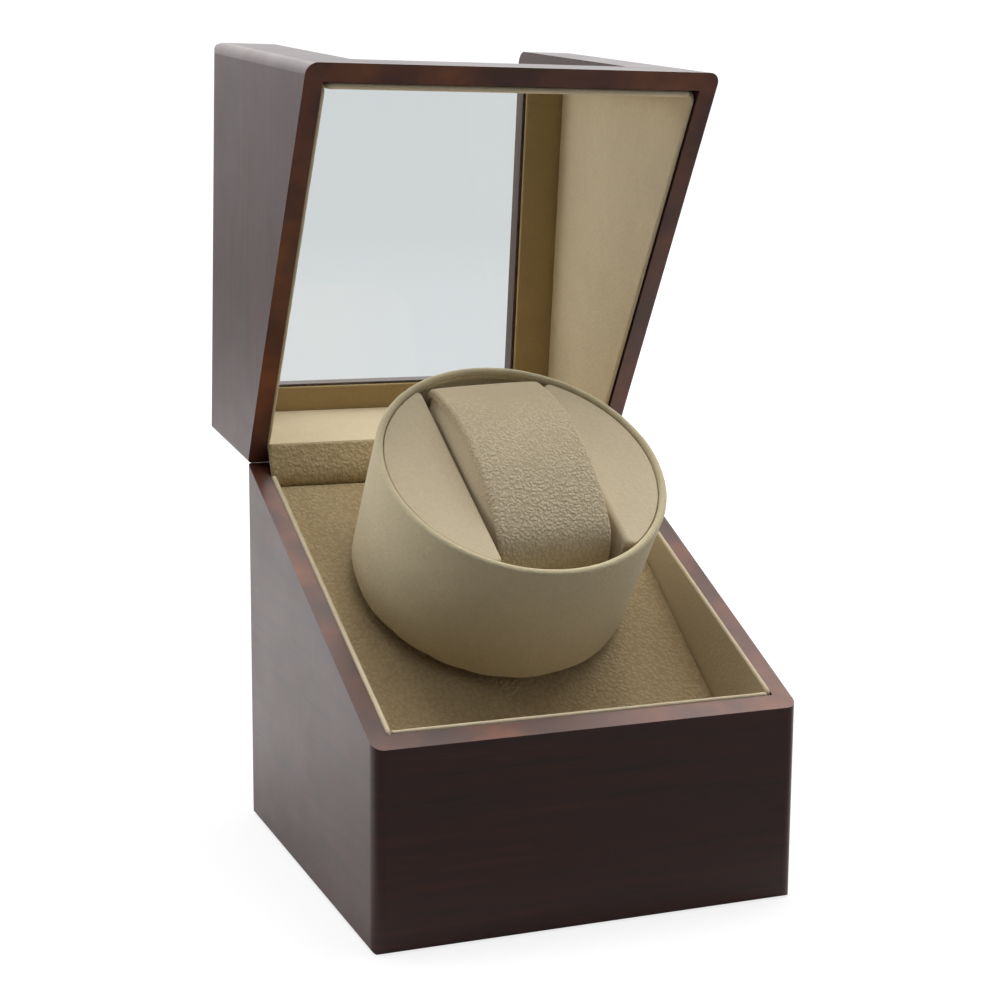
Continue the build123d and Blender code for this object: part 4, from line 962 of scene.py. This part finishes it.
# band: soft roll on the left, tighter on the right; inset 0 is its outer face
sec = []
sec += [(2.45, -15.2), (2.5, -16.3)]
sec += arc_pts(2.18, -17.05, 0.42, 0, -90, 5)                      # thin lip at the turned edge
sec += [(1.75, -17.36), (1.45, -17.34)]
sec += arc_pts(1.05, -16.3, 1.08, -90, -180, 10)                   # tight left edge
sec += [(-0.10, -14.6), (-0.16, -12.5), (-0.20, -9.0), (-0.24, -4.0), (-0.24, 2.0), (-0.22, 8.0),
        (-0.15, 13.0)]
sec += arc_pts(1.0, 16.5, 1.0, 180, 90, 8)
sec += arc_pts(1.9, 16.75, 0.75, 90, 0, 5)
sec += [(2.5, 16.1), (2.45, 15.2)]
v_, f_, n_r = loft_round("band", sec, None, (), None, None)


def soften(v):
    v = v.copy()
    d = np.zeros(len(v))
    for i, (x, u, z) in enumerate(v):
        d[i] = 0.10 * noise.noise(Vector((x / 11.0, u / 11.0, z / 11.0)))
    v[:, 2] += d
    v[:, 0] += 0.5 * d * (np.abs(v[:, 0]) > 15.0)
    return v


band = make("cuff_band_cloth", at_cup(soften(v_)), f_, "cuff", ("cuff_band",), m_band)

# side panels: a thin rolled edge just inside the band, then a flat face
for nm, sg in (("left", -1.0), ("right", 1.0)):
    sec = [(2.66, 14.9), (2.66, 16.1)]
    sec += arc_pts(3.15, 16.48, 0.5, 180, 60, 7)
    swell = 1.0 if nm == "left" else 0.3
    sec += [(3.9, 16.96 + 0.12 * swell), (5.0, 17.0 + 0.5 * swell), (6.5, 17.05 + 0.95 * swell),
            (8.5, 17.1 + 1.3 * swell), (11.0, 17.1 + 1.45 * swell), (13.0, 17.1 + 1.5 * swell)]
    v_, f_, n_r = loft_round("side", sec, None, (), None, None, closed=False)
    # close the face and the back
    m_ = len(sec)
    ring_last = [(m_ - 1) * n_r + i for i in range(n_r)]
    ring_first = [i for i in range(n_r)]
    f_.append(ring_last)
    f_.append(ring_first[::-1])
    v_[:, 0] *= sg
    o_ = make("cuff_side_" + nm, at_cup(v_), f_, "cuff", ("cuff_sides",),
              m_smooth)
    bm = bmesh.new()
    bm.from_mesh(o_.data)
    big = [f for f in bm.faces if len(f.verts) > 8]
    bmesh.ops.triangulate(bm, faces=big)
    bm.to_mesh(o_.data)
    bm.free()

# foam core, with softly rounded edges
sec = [(3.6, -14.7)] + arc_pts(3.6, -13.7, 1.0, -90, -180, 5) + arc_pts(3.6, 13.7, 1.0, 180, 90, 5)
v_, f_, n_r = loft_round("foam", sec, None, (), None, None, closed=False)
f_.append([(len(sec) - 1) * n_r + i for i in range(n_r)])
f_.append([i for i in range(n_r)][::-1])
foam = make("cuff_foam_block", at_cup(v_), f_, "cuff", ("cuff_foam",), m_foam)

# ---------------------------------------------------------- marks at the rear
def flat_ring(name, pts_list, y, thick, body, mat):
    verts, faces = [], []
    for quad in pts_list:
        b = len(verts)
        k = len(quad)
        verts += [(x, y, z) for x, z in quad] + [(x, y + thick, z) for x, z in quad]
        faces.append([b + i for i in range(k)][::-1])
        faces.append([b + k + i for i in range(k)])
        for i in range(k):
            j = (i + 1) % k
            faces.append((b + i, b + j, b + k + j, b + k + i))
    return make(name, at_base(verts), faces, body, (), mat, smooth=False)


CZ, KX = 25.0, 19.0
ticks = []
for deg in (90, 45, 0, -45):
    t = math.radians(deg)
    d = np.array([math.cos(t), math.sin(t)])
    n2 = np.array([-d[1], d[0]])
    c0 = np.array([KX, CZ]) + d * 7.6
    c1 = np.array([KX, CZ]) + d * 9.2
    ticks.append([tuple(c0 - n2 * 0.28), tuple(c1 - n2 * 0.28), tuple(c1 + n2 * 0.28), tuple(c0 + n2 * 0.28)])
flat_ring("dial_marks", ticks, YB + 0.005, 0.05, "base", m_mark)

# -------------------------------------------------------------- floor and light
fm, nt, out = new_mat("studio_floor")
g = Net(nt)
tc = g.add("ShaderNodeTexCoord")
sep = g.add("ShaderNodeSeparateXYZ")
nt.links.new(tc.outputs["Object"], sep.inputs[0])
shade = g.math("MULTIPLY", g.maprange(sep.outputs[1], -0.12, -0.02, 0.33, 1.0, True),  # the sweep ends in front
               g.maprange(sep.outputs[1], 0.1, 0.9, 0.75, 0.93, True))
tone = g.add("ShaderNodeCombineColor")
for k in range(3):
    nt.links.new(shade, tone.inputs[k])
dist = g.add("ShaderNodeVectorMath", _operation="LENGTH")
nt.links.new(tc.outputs["Object"], dist.inputs[0])
bounce = g.add("ShaderNodeBsdfDiffuse", Color=tone.outputs[0])
# what the camera sees is the cleared white ground, with the shadow left faint
white = g.maprange(dist.outputs["Value"], 0.10, 0.80, 0.80, 1.0, True)
lp = g.add("ShaderNodeLightPath")
behind = g.maprange(lp.outputs["Transparent Depth"], 0.0, 1.0)
far = g.maprange(dist.outputs["Value"], 1.2, 5.6, 0.825, 0.765, True)
em = g.add("ShaderNodeEmission",
           Color=g.mix(behind, (1.0, 1.0, 1.0, 1.0), (0.975, 1.0, 1.01, 1.0)),
           Strength=g.math("ADD", g.math("MULTIPLY", white, g.math("SUBTRACT", 1.0, behind)),
                           g.math("MULTIPLY", far, behind)))
soft = g.add("ShaderNodeBsdfDiffuse",
             Color=g.mix(behind, (0.22, 0.22, 0.22, 1.0), (0.0, 0.0, 0.0, 1.0)))
ad = g.add("ShaderNodeAddShader")
nt.links.new(soft.outputs[0], ad.inputs[0])
nt.links.new(em.outputs[0], ad.inputs[1])
pick = g.add("ShaderNodeMixShader")
nt.links.new(lp.outputs["Is Camera Ray"], pick.inputs[0])
nt.links.new(bounce.outputs[0], pick.inputs[1])
nt.links.new(ad.outputs[0], pick.inputs[2])
nt.links.new(pick.outputs[0], out.inputs[0])
me = bpy.data.meshes.new("floor")
me.from_pydata([(-6, -6, 0), (6, -6, 0), (6, 6, 0), (-6, 6, 0)], [], [(0, 1, 2, 3)])
floor = bpy.data.objects.new("floor", me)
bpy.context.scene.collection.objects.link(floor)
me.materials.append(fm)

world = bpy.data.worlds.new("studio")
bpy.context.scene.world = world
world.use_nodes = True
nt = world.node_tree
nt.nodes.clear()
g = Net(nt)
wo = g.add("ShaderNodeOutputWorld")
tc = g.add("ShaderNodeTexCoord")
sep = g.add("ShaderNodeSeparateXYZ")
nt.links.new(tc.outputs["Generated"], sep.inputs[0])
X, Y, Z = sep.outputs[0], sep.outputs[1], sep.outputs[2]
lowz, highz = g.maprange(Z, 0.45, 0.15, smooth=True), g.maprange(Z, 0.15, 0.45, smooth=True)
glow = None
for axis_, a0, a1, low_, high_ in ((Y, -0.1, 0.6, 0.59, 0.92), (X, 0.1, -0.6, 0.14, 0.0),
                                   (X, -0.1, 0.6, 0.97, 0.29)):
    part_ = g.math("MULTIPLY", g.maprange(axis_, a0, a1, smooth=True),
                   g.math("ADD", g.math("MULTIPLY", lowz, low_), g.math("MULTIPLY", highz, high_)))
    glow = part_ if glow is None else g.math("ADD", glow, part_)
lit = g.add("ShaderNodeBackground", Color=(0.98, 0.995, 1.01, 1.0), Strength=glow)
lp = g.add("ShaderNodeLightPath")
seen = g.add("ShaderNodeBackground", Color=(0.975, 1.0, 1.01, 1),
             Strength=g.maprange(lp.outputs["Transparent Depth"], 0.0, 1.0, 1.06, 0.765))
mx = g.add("ShaderNodeMixShader")
nt.links.new(lp.outputs["Is Camera Ray"], mx.inputs[0])
nt.links.new(lit.outputs[0], mx.inputs[1])
nt.links.new(seen.outputs[0], mx.inputs[2])
nt.links.new(mx.outputs[0], wo.inputs[0])


def area(name, loc, target, size, power, colour=(1, 1, 1)):
    l = bpy.data.lights.new(name, "AREA")
    l.shape = "RECTANGLE"
    l.size, l.size_y = size
    l.energy = power
    l.color = colour
    o = bpy.data.objects.new(name, l)
    bpy.context.scene.collection.objects.link(o)
    o.location = loc
    d = Vector(target) - Vector(loc)
    o.rotation_euler = d.to_track_quat("-Z", "Y").to_euler()
    return o


for nm, loc, power in (("overhead", (0.0, 0.05, 1.15), 7.6), ("over_left", (-0.55, 0.05, 1.05), 0.95),
                       ("over_right", (0.55, 0.05, 1.05), 4.2), ("over_back", (0.1, 0.6, 1.05), 1.4),
                       ("over_front", (0.0, -0.5, 1.05), 0.18), ("side_left", (-0.95, 0.40, 0.62), 3.3),
                       ("rear", (-0.1, 1.1, 0.6), 1.1)):
    area(nm, loc, (0.0, 0.0, 0.1), (0.6, 0.6), power, (1.0, 0.995, 0.985))

# --------------------------------------------------------------------- camera
cd = bpy.data.cameras.new("camera")
cd.sensor_fit = "HORIZONTAL"
cd.sensor_width = 36.0
cd.lens = 70.928
cd.clip_start = 0.01
cam = bpy.data.objects.new("camera", cd)
bpy.context.scene.collection.objects.link(cam)
R3 = Matrix(((0.929478, 0.054957, -0.364760), (-0.368798, 0.158885, -0.915830),
             (0.007623, 0.985766, 0.167948)))
cam.matrix_world = Matrix.Translation((-0.215114, -0.532194, 0.206684)) @ R3.to_4x4()
bpy.context.scene.camera = cam

vs = bpy.context.scene.view_settings
vs.view_transform = "Standard"
vs.look = "None"
vs.exposure = 0.0
vs.gamma = 1.0
